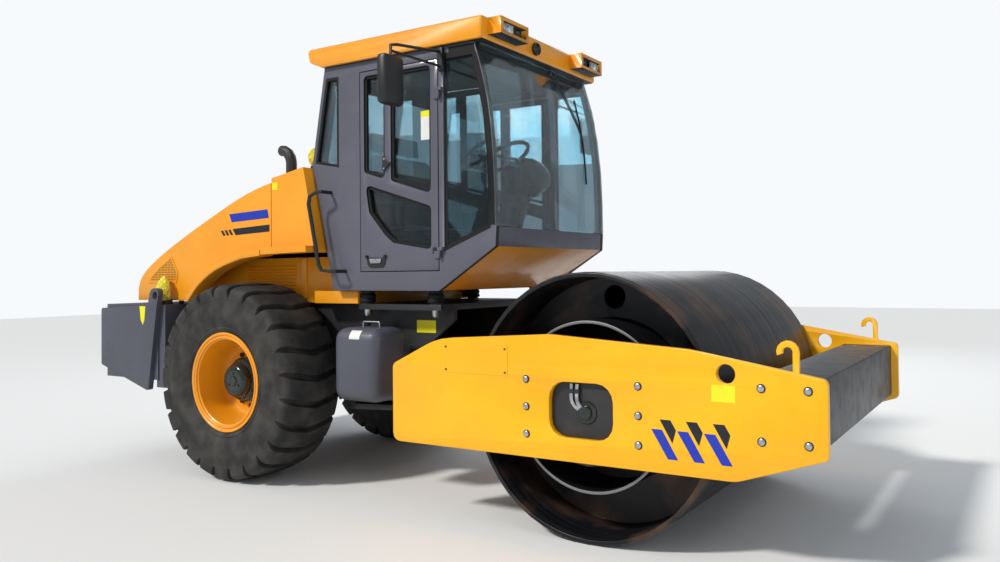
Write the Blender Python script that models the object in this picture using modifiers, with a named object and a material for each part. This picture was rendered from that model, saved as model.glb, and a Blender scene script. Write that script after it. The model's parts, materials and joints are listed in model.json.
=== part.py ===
"""Single-drum road roller, built as an assembly of separate pieces.

Metres, +X forwards (drum end), +Y to the machine's left, +Z up.  The origin is on the ground,
under the middle of the machine.  Every moving piece hangs from an empty on its joint's axis.
"""

import math

import bmesh
import bpy
from mathutils import Matrix, Vector

# ---------------------------------------------------------------- driving dimensions
GAP = 0.0003                 # room between two pieces that rest on each other
SEAT = 0.0003                # room round a pin or shaft that turns in its bore

PIVOT_X = 0.170              # steering pivot, ahead of the origin
JOINT_Z = 0.720              # height of the oscillation axis
WHEELBASE = 3.010

DRUM_R = 0.7615
DRUM_WIDTH = 2.126
DRUM_SHELL = 0.028
DRUM_RECESS = 0.380          # from the drum's end to its web
DRUM_WEB = 0.030
COLLAR_R = 0.486             # ring inside the drum's end
COLLAR_WALL = 0.016
TRUNNION_R = 0.080

PLATE_GAP = 0.030            # drum's end to a front side plate
PLATE = 0.040                # thickness of a front side plate
CROSS_SETBACK = 0.470        # pivot to the rear cross member
CROSS_DEPTH = 0.120
CROSS_HEIGHT = 0.400
DRUM_CLEAR_REAR = 0.1785     # rear cross member to drum
DRUM_CLEAR_FRONT = 0.200     # drum to front beam
BEAM_DEPTH = 0.320
BEAM_HEIGHT = 0.345
NOSE = 0.0435                # front side plate past the beam
WINDOW = (0.401, 0.312)      # length and height of the hole at the axle
SUPPORT_BOLTS = (0.350, 0.156)  # half spacing of the support's bolts along X and Z
SCRAPER_GAP = 0.010

TYRE_R = 0.735
TYRE_WIDTH = 0.520
TRACK = 1.774                # between the two tyres' middles
BEAD_R = 0.335
RIM_FLANGE_R = 0.370
RIM_WALL = 0.018
RIM_DISC_INSET = 0.030       # rim disc from the tyre's middle, inwards
HUB_R = 0.170
HUB_CAP_R = 0.125
SPINDLE_R = 0.060

FRAME_HALF = 0.550           # outer face of the rear frame's side plates
FRAME_PLATE = 0.030
FRAME_TOP = 1.310
FRAME_BOTTOM = 0.600
FRAME_REAR_X = -2.290
DECK_TOP = 1.403
DECK_HALF = 0.700
DECK_FRONT_X = -0.360
DECK_WIDE_X = -0.800         # the deck is narrower than this behind it, between the tyres
ENGINE_BAY_HALF = 0.600
PANEL_TOP = 1.660            # upright panels beside the engine
MOUNT_X = (-0.308, 0.318)    # the cab's rubber mounts
MOUNT_Y = 0.650
FORK_SPREAD = 0.340          # between the two fork plates of the steering pivot
FORK_PLATE = 0.040
FORK_R = 0.130
PIN_R = 0.045
JOINT_SHAFT_R = 0.070        # shaft of the oscillation joint

REAR_X = -3.025              # the counterweight's last face
WEIGHT_TOP = 1.295
COUNTERWEIGHT_HALF = 1.020
COUNTERWEIGHT_PLATE = 0.045
TANK = (0.420, 0.340, 0.505)  # length, width and height of a side tank
TANK_INNER_Y = 0.660
TANK_BOTTOM = 0.650
TANK_FRONT_X = 0.090
TANK_ROUND = 0.085

CAB_HALF = 0.760
CAB_WALL = 0.040
CAB_BOTTOM = 1.406
CAB_CHIN_Z = 1.695           # lowest line of the front band
CAB_SILL_Z = 1.828           # lower edge of the windscreen
CAB_TOP = 3.050              # underside of the roof
CAB_FRONT_X = 0.900
GLASS = 0.006
ROOF_HALF = 0.800
ROOF_TOP = 3.200

DOOR_X = (-0.270, 0.430)     # rear and front edge of a door
DOOR_Z = (1.545, 2.970)
DOOR_SLIT = 0.006            # slit round a closed door

REAR_EDGE = ((-0.541, 1.406), (-0.753, 2.330), (-0.620, 3.050))  # cab's rear edge, from below
SCREEN_RAKE = 0.155          # how far the windscreen leans back at its top
SEAT_X = -0.480
WHEEL_CENTRE = (0.470, 0.0, 2.390)  # steering wheel
MIRROR = (0.489, 1.293, 2.715)      # middle of a mirror's head

HOOD_HALF = 0.840
HOOD_WALL = 0.020
HOOD_FRONT_X = -1.112        # seam between hood and cowl
HOOD_HINGE = (-2.738, 1.345)
EXHAUST = (-1.040, -0.700)   # the exhaust pipe on the cowl
EXHAUST_R = 0.042
COWL_TOP = (2.262, 2.322)    # height of the cowl at its rear and front edge
FLARE_HALF = 0.950
HOOD_SLIT = 0.008
COWL_HALF = 0.840

CYLINDER_R = 0.045
ROD_R = 0.020
ROD_PIN = (0.130, 0.270)     # rod eye from the pivot, forwards and sideways
BARREL_PIN = (-0.670, 0.330)  # barrel eye from the pivot
CYLINDER_Z = 0.640

ROUND = 24                   # sides of a middling round piece

# ---------------------------------------------------------------- places that follow
DRUM_X = PIVOT_X + CROSS_SETBACK + CROSS_DEPTH + DRUM_CLEAR_REAR + DRUM_R
DRUM_END = DRUM_WIDTH / 2
PLATE_IN = DRUM_END + PLATE_GAP
PLATE_OUT = PLATE_IN + PLATE
CROSS_X = PIVOT_X + CROSS_SETBACK
BEAM_X = DRUM_X + DRUM_R + DRUM_CLEAR_FRONT
NOSE_X = BEAM_X + BEAM_DEPTH + NOSE
AXLE_X = DRUM_X - WHEELBASE
AXLE_Z = TYRE_R
TYRE_Y = TRACK / 2
DISC_Y = TYRE_Y - RIM_DISC_INSET
DOOR_PIVOT = (DOOR_X[1] + 0.020, CAB_HALF + 0.020)
HINGE = 0.050                # height of a door hinge's moving half
HINGE_Z = (DOOR_Z[0] + 0.080, DOOR_Z[1] - 0.270)

SIDES = (("right", -1), ("left", 1))

# ---------------------------------------------------------------- collections and paint
for thing in list(bpy.data.objects):
    bpy.data.objects.remove(thing, do_unlink=True)


def collection(name):
    """A new collection in the scene."""
    home = bpy.data.collections.new(name)
    bpy.context.scene.collection.children.link(home)
    return home


MODEL = collection("road_roller")
TOOLS = collection("cutters")


def linear(channel):
    """One sRGB channel, 0 to 1, as linear light."""
    return channel / 12.92 if channel <= 0.04045 else ((channel + 0.055) / 1.055) ** 2.4


def finish(name, colour, roughness, metallic=0.0, alpha=1.0):
    """A Principled material from a hex colour."""
    material = bpy.data.materials.new(name)
    material.use_nodes = True
    shader = material.node_tree.nodes["Principled BSDF"]
    rgb = [linear(int(colour[i:i + 2], 16) / 255) for i in (1, 3, 5)]
    shader.inputs["Base Color"].default_value = (*rgb, 1.0)
    shader.inputs["Roughness"].default_value = roughness
    shader.inputs["Metallic"].default_value = metallic
    shader.inputs["Alpha"].default_value = alpha
    return material


YELLOW = finish("yellow_paint", "#F2AC0E", 0.35)
GREY = finish("grey_paint", "#5E5E6C", 0.40)
DARK = finish("dark_paint", "#26272B", 0.45)
STEEL = finish("drum_steel", "#17181C", 0.40, 0.6)
CHROME = finish("rod_chrome", "#C9CCD0", 0.12, 1.0)
RUBBER = finish("tyre_rubber", "#2A2A2B", 0.80)
PLASTIC = finish("black_plastic", "#1B1B1D", 0.50)
CUSHION = finish("seat_fabric", "#22232A", 0.90)
WINDOW_GLASS = finish("tinted_glass", "#6FA9B8", 0.05, 0.0, 0.35)


# ---------------------------------------------------------------- making shapes
def put(name, mesh, material, matrix=Matrix()):
    """An object for a mesh, in the model's collection."""
    thing = bpy.data.objects.new(name, mesh)
    thing.matrix_world = matrix
    mesh.materials.clear()
    mesh.materials.append(material)
    MODEL.objects.link(thing)
    return thing


def put_bmesh(name, shape, material, matrix=Matrix()):
    """An object for a bmesh, which is freed."""
    mesh = bpy.data.meshes.new(name)
    bmesh.ops.recalc_face_normals(shape, faces=shape.faces)
    shape.to_mesh(mesh)
    shape.free()
    return put(name, mesh, material, matrix)


def aim(axis):
    """The rotation that takes +Z to an axis."""
    return Vector((0, 0, 1)).rotation_difference(Vector(axis)).to_matrix().to_4x4()


def bevel(thing, width, segments=2, angle=30):
    """A Bevel modifier on the edges sharper than an angle."""
    edge = thing.modifiers.new("rounded edges", "BEVEL")
    edge.width = width
    edge.segments = segments
    edge.limit_method = "ANGLE"
    edge.angle_limit = math.radians(angle)
    return thing


def box(name, low, high, material):
    """A box between two corners."""
    low, high = Vector(low), Vector(high)
    shape = bmesh.new()
    bmesh.ops.create_cube(shape, size=1.0)
    bmesh.ops.scale(shape, vec=high - low, verts=shape.verts)
    return put_bmesh(name, shape, material, Matrix.Translation((low + high) / 2))


def rod(name, centre, axis, radius, length, material, sides=ROUND):
    """A cylinder about an axis."""
    shape = bmesh.new()
    bmesh.ops.create_cone(shape, cap_ends=True, segments=sides, radius1=radius,
                          radius2=radius, depth=length)
    return put_bmesh(name, shape, material, Matrix.Translation(centre) @ aim(axis))


def running(radius):
    """The corner radius of a ROUND-sided bore whose flats clear a shaft."""
    return radius / math.cos(math.pi / ROUND) + SEAT


def turned(name, profile, centre, axis, material, steps=ROUND):
    """A closed (radius, height) profile, top to bottom on its outer side, turned about an axis."""
    mesh = bpy.data.meshes.new(name)
    count = len(profile)
    on_axis = profile[0][0] == 0 and profile[-1][0] == 0
    edges = [(i, i + 1) for i in range(count - 1)]
    if not on_axis:
        edges.append((count - 1, 0))
    mesh.from_pydata([(r, 0, h) for r, h in profile], edges, [])
    thing = put(name, mesh, material, Matrix.Translation(centre) @ aim(axis))
    screw = thing.modifiers.new("turn", "SCREW")
    screw.steps = steps
    screw.render_steps = steps
    screw.use_merge_vertices = True
    screw.merge_threshold = 0.00001
    return thing


def as_mesh(curve_object):
    """The same piece as a welded mesh object, in place of the curve."""
    name, material = curve_object.name, curve_object.data.materials[0]
    bpy.context.view_layer.update()
    ready = curve_object.evaluated_get(bpy.context.evaluated_depsgraph_get())
    mesh = bpy.data.meshes.new_from_object(ready)
    matrix = curve_object.matrix_world.copy()
    bpy.data.objects.remove(curve_object, do_unlink=True)
    shape = bmesh.new()
    shape.from_mesh(mesh)
    bmesh.ops.remove_doubles(shape, verts=shape.verts, dist=0.00001)
    shape.to_mesh(mesh)
    shape.free()
    mesh.name = name
    return put(name, mesh, material, matrix)


def curve(name, lines, dimensions, material, closed):
    """A curve object of POLY splines."""
    data = bpy.data.curves.new(name, "CURVE")
    data.dimensions = dimensions
    for line in lines:
        spline = data.splines.new("POLY")
        spline.points.add(len(line) - 1)
        for point, place in zip(spline.points, line):
            point.co = (*place, 0.0, 1.0) if len(place) == 2 else (*place, 1.0)
        spline.use_cyclic_u = closed
    data.materials.append(material)
    thing = bpy.data.objects.new(name, data)
    MODEL.objects.link(thing)
    return thing


def tube(name, points, radius, material, resolution=2):
    """A round bar along a line of points."""
    thing = curve(name, [points], "3D", material, False)
    thing.data.bevel_depth = radius
    thing.data.bevel_resolution = resolution
    thing.data.use_fill_caps = True
    return as_mesh(thing)


def rounded(corners, radius, steps=4):
    """An outline with an arc at each corner; a corner may be (x, z, its own radius)."""
    line = []
    count = len(corners)
    for i, corner in enumerate(corners):
        here = Vector(corner[:2])
        back = Vector(corners[i - 1][:2]) - here
        ahead = Vector(corners[(i + 1) % count][:2]) - here
        half = back.angle(ahead) / 2
        size = corner[2] if len(corner) > 2 else radius
        reach = min(size / math.tan(half), 0.45 * back.length, 0.45 * ahead.length)
        if size == 0 or half > math.radians(86):
            line.append(tuple(here))
            continue
        size = reach * math.tan(half)
        middle = here + (back.normalized() + ahead.normalized()).normalized() * (size / math.sin(half))
        start = here + back.normalized() * reach - middle
        end = here + ahead.normalized() * reach - middle
        turn = start.angle_signed(end)
        for step in range(steps + 1):
            a = -turn * step / steps
            line.append((middle.x + start.x * math.cos(a) - start.y * math.sin(a),
                         middle.y + start.x * math.sin(a) + start.y * math.cos(a)))
    return line


PLANES = {
    "XZ": Matrix.Rotation(math.pi / 2, 4, "X"),
    "XY": Matrix(),
    "YZ": Matrix.Rotation(math.pi / 2, 4, "Z") @ Matrix.Rotation(math.pi / 2, 4, "X"),
}


def plate(name, outline, between, material, plane="XZ"):
    """A flat outline, given thickness between two places along the third axis."""
    thing = curve(name, [outline], "2D", material, True)
    thing.data.fill_mode = "BOTH"
    thing.data.extrude = abs(between[1] - between[0]) / 2
    middle = sum(between) / 2
    offset = {"XZ": (0, middle, 0), "XY": (0, 0, middle), "YZ": (middle, 0, 0)}[plane]
    thing.matrix_world = Matrix.Translation(offset) @ PLANES[plane]
    return as_mesh(thing)


def boolean(target, other, operation):
    """Join or cut with another piece, which becomes a hidden tool."""
    change = target.modifiers.new(f"{operation.lower()} {other.name}", "BOOLEAN")
    change.operation = operation
    change.object = other
    MODEL.objects.unlink(other)
    TOOLS.objects.link(other)
    other.hide_render = True
    other.display_type = "WIRE"
    return target


def join(target, *others):
    """Boolean union."""
    for other in others:
        boolean(target, other, "UNION")
    return target


def cut(target, *others):
    """Boolean difference."""
    for other in others:
        boolean(target, other, "DIFFERENCE")
    return target


def joint(name, place, pieces, parent=None):
    """An empty on a joint's axis, with its moving pieces and perhaps its own parent."""
    empty = bpy.data.objects.new(name, None)
    empty.empty_display_size = 0.1
    MODEL.objects.link(empty)
    empty.matrix_world = Matrix.Translation(place)
    bpy.context.view_layer.update()
    if parent:
        empty.parent = parent
        empty.matrix_parent_inverse = parent.matrix_world.inverted()
    for piece in pieces:
        piece.parent = empty
        piece.matrix_parent_inverse = Matrix.Translation(place).inverted()
    return empty


# ---------------------------------------------------------------- drum and front frame
def build_drum():
    """A shell with a dished web near each end, a hollow between the webs and a trunnion each side."""
    web = DRUM_END - DRUM_RECESS
    inner = DRUM_R - DRUM_SHELL
    collar_in = COLLAR_R - COLLAR_WALL
    face = DRUM_END - 0.030
    tip = web + 0.230
    half = [(0, tip), (TRUNNION_R, tip), (TRUNNION_R, web), (collar_in, web), (collar_in, face),
            (COLLAR_R, face), (COLLAR_R, web), (inner, web), (inner, DRUM_END),
            (DRUM_R - 0.006, DRUM_END), (DRUM_R, DRUM_END - 0.006)]
    profile = half + [(r, -h) for r, h in reversed(half)]
    middle = (DRUM_X, 0, DRUM_R)
    drum = turned("drum", profile, middle, (0, 1, 0), STEEL, 48)
    core = web - DRUM_WEB
    hollow = [(inner, core), (inner, -core), (0.240, -core), (0.240, core)]
    cut(drum, turned("drum_hollow", hollow, middle, (0, 1, 0), STEEL, 48))
    hand_r = (inner + COLLAR_R) / 2
    for turn in (90, 210, 330):
        a = math.radians(turn)
        place = (DRUM_X + hand_r * math.cos(a), 0, DRUM_R + hand_r * math.sin(a))
        cut(drum, rod(f"hand_hole_{turn}", place, (0, 1, 0), 0.070, 2 * web + 0.1, STEEL, sides=16))
    return drum


def side_plate_outline():
    """The front frame's side plate, seen from its side, about the axle's height."""
    low, top = DRUM_R - 0.295, DRUM_R + 0.408
    rear = PIVOT_X + 0.177
    return rounded([(rear, low, 0.05), (NOSE_X - 0.45, low, 0.2), (NOSE_X, DRUM_R - 0.142, 0.03),
                    (NOSE_X, DRUM_R + 0.236, 0.03), (DRUM_X + 0.63, top - 0.052, 1.2),
                    (DRUM_X - 0.20, top + 0.002, 1.5), (rear + 0.36, top - 0.045, 0.5),
                    (rear, DRUM_R + 0.192, 0.04)], 0.05, 3)


def build_front_frame():
    """Side plates, rear cross member with the oscillation shaft, front beam and drum supports."""
    pieces = []
    for side, sign in SIDES:
        walls = (sign * PLATE_IN, sign * PLATE_OUT)
        panel = plate(f"{side}_front_plate", side_plate_outline(), walls, YELLOW)
        half_l, half_h = WINDOW[0] / 2, WINDOW[1] / 2
        hole = rounded([(DRUM_X - half_l, DRUM_R - half_h - 0.008), (DRUM_X + half_l, DRUM_R - half_h - 0.008),
                        (DRUM_X + half_l, DRUM_R + half_h - 0.008),
                        (DRUM_X - half_l, DRUM_R + half_h - 0.008)], 0.10, 4)
        cut(panel, plate(f"{side}_window_hole", hole, (walls[0] - sign * 0.05, walls[1] + sign * 0.05), YELLOW))
        lift = (BEAM_X - 0.1315, sign * (PLATE_IN + PLATE_OUT) / 2, DRUM_R + 0.240)
        cut(panel, rod(f"{side}_lifting_hole", lift, (0, 1, 0), 0.050, 0.2, YELLOW, sides=20))
        join(panel, tie_down_hook(side, sign))
        pieces.append(panel)
        pieces.append(drum_support(side, sign))
    pieces.append(cross_member())
    beam_low, beam_high = DRUM_R - 0.122, DRUM_R - 0.122 + BEAM_HEIGHT
    half = PLATE_IN - GAP
    beam = box("front_beam", (BEAM_X, -half, beam_low), (BEAM_X + BEAM_DEPTH, half, beam_high), DARK)
    cut(beam, box("beam_hollow", (BEAM_X + 0.02, -half + 0.02, beam_low - 0.1),
                  (BEAM_X + BEAM_DEPTH - 0.02, half - 0.02, beam_high - 0.02), DARK))
    pieces.append(beam)
    pieces.append(scraper())
    return pieces


def tie_down_hook(side, sign):
    """A flat hook on the plate's top edge, open towards the rear."""
    x, z = BEAM_X + 0.170, DRUM_R + 0.340
    middle = (x + 0.006, z + 0.022)
    outer = [(middle[0] + 0.055 * math.cos(math.radians(a)), middle[1] + 0.055 * math.sin(math.radians(a)))
             for a in range(0, 201, 25)]
    inner = [(middle[0] + 0.024 * math.cos(math.radians(a)), middle[1] + 0.024 * math.sin(math.radians(a)))
             for a in range(200, -1, -25)]
    foot = [(middle[0] + 0.024, z - 0.15), (middle[0] + 0.055, z - 0.15)]
    middle_y = sign * (PLATE_IN + PLATE_OUT) / 2
    return plate(f"{side}_hook", outer + inner + foot, (middle_y - 0.0125, middle_y + 0.0125), YELLOW)


def drum_support(side, sign):
    """The bolted mount inside a side plate: base with a window, ring, and the trunnion's hub."""
    half_x, half_z = SUPPORT_BOLTS[0] + 0.050, SUPPORT_BOLTS[1] + 0.045
    outer = PLATE_IN - GAP
    base = rounded([(DRUM_X - half_x, DRUM_R - half_z), (DRUM_X + half_x, DRUM_R - half_z),
                    (DRUM_X + half_x, DRUM_R + half_z), (DRUM_X - half_x, DRUM_R + half_z)], 0.03, 2)
    support = plate(f"{side}_drum_support", base, (sign * (outer - 0.055), sign * outer), DARK)
    hub_out, hub_in = outer - 0.120, DRUM_END - DRUM_RECESS + 0.010
    bore = running(TRUNNION_R)
    ring = [(0, hub_out + 0.080), (0.330, hub_out + 0.080), (0.330, hub_out), (0.190, hub_out - 0.040),
            (0.190, hub_in), (bore, hub_in), (bore, hub_in + 0.240), (0, hub_in + 0.240)]
    if sign < 0:
        ring = [(r, -h) for r, h in reversed(ring)]
    hub = turned(f"{side}_support_hub", ring, (DRUM_X, 0, DRUM_R), (0, 1, 0), DARK, ROUND)
    return join(support, hub)


def cross_member():
    """The rear cross member, its centre boss and the shaft of the oscillation joint."""
    half = PLATE_IN - GAP
    low, high = JOINT_Z - CROSS_HEIGHT / 2, JOINT_Z + CROSS_HEIGHT / 2
    member = box("rear_cross_member", (CROSS_X, -half, low), (CROSS_X + CROSS_DEPTH, half, high), YELLOW)
    boss = box("cross_boss", (CROSS_X - 0.120, -0.200, JOINT_Z - 0.150), (CROSS_X + 0.02, 0.200, JOINT_Z + 0.150),
               YELLOW)
    shaft = rod("oscillation_shaft", (CROSS_X - 0.200, 0, JOINT_Z), (1, 0, 0), JOINT_SHAFT_R, 0.300, YELLOW)
    return join(member, boss, shaft)


def scraper():
    """A scraper plate under the cross member, its front edge just behind the drum."""
    low = JOINT_Z - CROSS_HEIGHT / 2 - GAP
    reach = math.sqrt((DRUM_R + SCRAPER_GAP) ** 2 - (DRUM_R - low) ** 2)
    half = DRUM_END - 0.10
    return box("scraper", (CROSS_X + 0.030, -half, low - 0.025), (DRUM_X - reach, half, low), DARK)


# ---------------------------------------------------------------- steering pivot and cylinders
def build_centre_joint():
    """The block between the frames: vertical pin, steering arms and the oscillation bearing."""
    half = FORK_SPREAD / 2 - 0.006
    block = rod("centre_joint", (PIVOT_X, 0, JOINT_Z), (0, 0, 1), FORK_R - 0.010, 2 * half, DARK)
    pin = rod("steering_pin", (PIVOT_X, 0, JOINT_Z), (0, 0, 1), PIN_R, FORK_SPREAD + 2 * FORK_PLATE + 0.02, DARK)
    length = CROSS_SETBACK - 0.120 - 0.010
    bearing = rod("joint_bearing", (PIVOT_X + length / 2, 0, JOINT_Z), (1, 0, 0), 0.120, length, DARK)
    arm_x = PIVOT_X + ROD_PIN[0]
    arm_top = CYLINDER_Z - 0.030
    arm = box("steering_arms", (arm_x - 0.045, -ROD_PIN[1] - 0.03, arm_top - 0.050),
              (arm_x + 0.030, ROD_PIN[1] + 0.03, arm_top), DARK)
    join(block, pin, bearing, arm)
    middle = PIVOT_X + length / 2 + 0.11
    bore = rod("joint_bore", (middle, 0, JOINT_Z), (1, 0, 0), running(JOINT_SHAFT_R), length, DARK)
    return cut(block, bore)


def build_cylinder(side, sign):
    """One steering cylinder: a barrel with its eye at the rear frame, a rod with its eye at an arm."""
    rear = Vector((PIVOT_X + BARREL_PIN[0], sign * BARREL_PIN[1], CYLINDER_Z))
    front = Vector((PIVOT_X + ROD_PIN[0], sign * ROD_PIN[1], CYLINDER_Z))
    along = (front - rear).normalized()
    length = (front - rear).length

    def bar(name, start, end, radius, material):
        return rod(name, rear + along * (start + end) / 2, along, radius, end - start, material, sides=24)

    mouth = 0.60 * length
    barrel = bar(f"{side}_cylinder_barrel", 0.035, mouth, CYLINDER_R, DARK)
    join(barrel, ring_eye(f"{side}_barrel_eye", rear, 0.050))
    cut(barrel, bar(f"{side}_cylinder_bore", 0.085, mouth - 0.040, CYLINDER_R - 0.012, DARK))
    cut(barrel, bar(f"{side}_gland", mouth - 0.050, mouth + 0.010, ROD_R + SEAT, DARK))
    piston_rod = bar(f"{side}_cylinder_rod", 0.36 * length, length - 0.035, ROD_R, CHROME)
    join(piston_rod, ring_eye(f"{side}_rod_eye", front, 0.050))
    return barrel, piston_rod


def ring_eye(name, centre, width):
    """An eye about a vertical pin."""
    profile = [(0.045, width / 2), (0.045, -width / 2), (0.021, -width / 2), (0.021, width / 2)]
    return turned(name, profile, centre, (0, 0, 1), DARK, 24)


# ---------------------------------------------------------------- wheels and rear axle
def build_wheel(side, sign):
    """Tyre, rim with its deep disc, and the planetary hub with the spindle's bore."""
    middle = (AXLE_X, sign * TYRE_Y, AXLE_Z)
    outward = (0, sign, 0)
    half = TYRE_WIDTH / 2
    seat_r = BEAD_R - GAP
    half_tyre = [(BEAD_R, half - 0.075), (BEAD_R + 0.045, half - 0.045), (0.430, half - 0.012), (0.520, half),
                 (0.620, half - 0.006), (TYRE_R - 0.045, half - 0.030), (TYRE_R - 0.012, half - 0.050),
                 (TYRE_R, half - 0.090)]
    tyre = turned(f"{side}_tyre", half_tyre + [(r, -h) for r, h in reversed(half_tyre)], middle, outward,
                  RUBBER, 32)
    disc = DISC_Y - TYRE_Y
    lip = half - 0.060
    barrel_r = seat_r - RIM_WALL
    rim_profile = [(seat_r, lip), (seat_r, -lip), (barrel_r, -lip), (barrel_r, disc - 0.014),
                   (HUB_R - 0.030, disc - 0.014), (HUB_R - 0.030, disc), (barrel_r, disc), (barrel_r, lip + 0.030),
                   (RIM_FLANGE_R, lip + 0.030), (RIM_FLANGE_R, lip + 0.022), (seat_r, lip + 0.020)]
    rim = turned(f"{side}_wheel_rim", rim_profile, middle, outward, YELLOW, 32)
    face = disc + GAP
    spindle = running(SPINDLE_R)
    hub_profile = [(0, face + 0.185), (HUB_CAP_R - 0.02, face + 0.185), (HUB_CAP_R, face + 0.165),
                   (HUB_CAP_R, face + 0.130), (HUB_R - 0.02, face + 0.110), (HUB_R, face + 0.085),
                    (HUB_R, face), (spindle, face), (spindle, face + 0.060), (0, face + 0.060)]
    hub = turned(f"{side}_wheel_hub", hub_profile, middle, outward, DARK, ROUND)
    return tyre, rim, hub


def build_rear_axle():
    """The axle tube with its differential, frame pads and a spindle at each end."""
    axle = rod("rear_axle", (AXLE_X, 0, AXLE_Z), (0, 1, 0), 0.105, 2 * (DISC_Y - 0.060), DARK)
    case = bmesh.new()
    bmesh.ops.create_uvsphere(case, u_segments=16, v_segments=8, radius=0.215)
    join(axle, put_bmesh("differential", case, DARK, Matrix.Translation((AXLE_X, 0.0, AXLE_Z))))
    join(axle, rod("axle_spindles", (AXLE_X, 0, AXLE_Z), (0, 1, 0), SPINDLE_R, 2 * (DISC_Y + 0.050), DARK))
    for side, sign in SIDES:
        wall = FRAME_HALF - FRAME_PLATE / 2
        join(axle, box(f"{side}_axle_pad", (AXLE_X - 0.130, sign * wall - 0.05, AXLE_Z),
                       (AXLE_X + 0.130, sign * wall + 0.05, AXLE_Z + 0.120 - GAP), DARK))
    return axle


# ---------------------------------------------------------------- rear frame and what stands on it
def build_rear_frame():
    """Two side plates, cross walls, the steering fork, cylinder lugs and the cab's mounts."""
    pad = AXLE_Z + 0.120
    nose = PIVOT_X + 0.230
    outline = [(FRAME_REAR_X, FRAME_BOTTOM), (AXLE_X - 0.145, FRAME_BOTTOM), (AXLE_X - 0.145, pad),
               (AXLE_X + 0.145, pad), (AXLE_X + 0.145, FRAME_BOTTOM), (PIVOT_X - 0.150, FRAME_BOTTOM),
               (PIVOT_X - 0.090, 0.950), (nose, 1.200), (nose, FRAME_TOP), (FRAME_REAR_X, FRAME_TOP)]
    inner = FRAME_HALF - FRAME_PLATE
    frame = plate("rear_frame", outline, (-FRAME_HALF, -inner), DARK)
    join(frame, plate("left_frame_plate", outline, (inner, FRAME_HALF), DARK))
    wall_x = PIVOT_X + BARREL_PIN[0] - 0.055
    overlap = inner + FRAME_PLATE / 2
    join(frame, box("middle_wall", (wall_x - 0.040, -overlap, 0.510), (wall_x, overlap, FRAME_TOP - 0.02), DARK))
    join(frame, box("rear_wall", (FRAME_REAR_X, -overlap, 0.620), (FRAME_REAR_X + 0.04, overlap, 1.250), DARK))
    low, high = JOINT_Z - FORK_SPREAD / 2, JOINT_Z + FORK_SPREAD / 2
    arc = [(PIVOT_X + FORK_R * math.cos(math.radians(a)), FORK_R * math.sin(math.radians(a)))
           for a in range(-75, 76, 25)]
    fork = [(wall_x - 0.02, -overlap)] + [(PIVOT_X - 0.30, -0.42)] + arc + [(PIVOT_X - 0.30, 0.42),
                                                                           (wall_x - 0.02, overlap)]
    for name, between in (("lower_fork", (low - FORK_PLATE, low)), ("upper_fork", (high, high + FORK_PLATE))):
        tongue = plate(name, fork, between, DARK, "XY")
        join(frame, tongue)
    cut(frame, rod("fork_bore", (PIVOT_X, 0, JOINT_Z), (0, 0, 1), running(PIN_R), FORK_SPREAD + 0.2, DARK))
    for side, sign in SIDES:
        x, y = PIVOT_X + BARREL_PIN[0], sign * BARREL_PIN[1]
        lug_top = CYLINDER_Z - CYLINDER_R - 0.006
        join(frame, box(f"{side}_lug", (wall_x - 0.02, y - 0.045, lug_top - 0.050), (x + 0.040, y + 0.045, lug_top),
                        DARK))
        join(frame, rod(f"{side}_lug_collar", (x, y, (lug_top + CYLINDER_Z - 0.0253) / 2 - 0.005), (0, 0, 1), 0.029,
                        CYLINDER_Z - 0.0253 - lug_top + 0.010, DARK, sides=24))
        join(frame, rod(f"{side}_lug_pin", (x, y, CYLINDER_Z - 0.005), (0, 0, 1), 0.020, 0.070, DARK, sides=24))
    join(frame, cab_bed())
    return frame


def cab_bed():
    """The plate across the frame that carries the cab on four rubber mounts."""
    rear, front = DECK_FRONT_X + 0.010, PIVOT_X + 0.230
    bed = box("cab_bed", (rear, -MOUNT_Y - 0.05, FRAME_TOP - 0.040), (front, MOUNT_Y + 0.05, FRAME_TOP), DARK)
    top = CAB_BOTTOM - GAP
    for i, x in enumerate(MOUNT_X):
        for side, sign in SIDES:
            join(bed, rod(f"{side}_mount_{i}", (x, sign * MOUNT_Y, (FRAME_TOP + top) / 2 - 0.005), (0, 0, 1), 0.045,
                          top - FRAME_TOP + 0.010, DARK, sides=16))
    return bed


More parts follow.
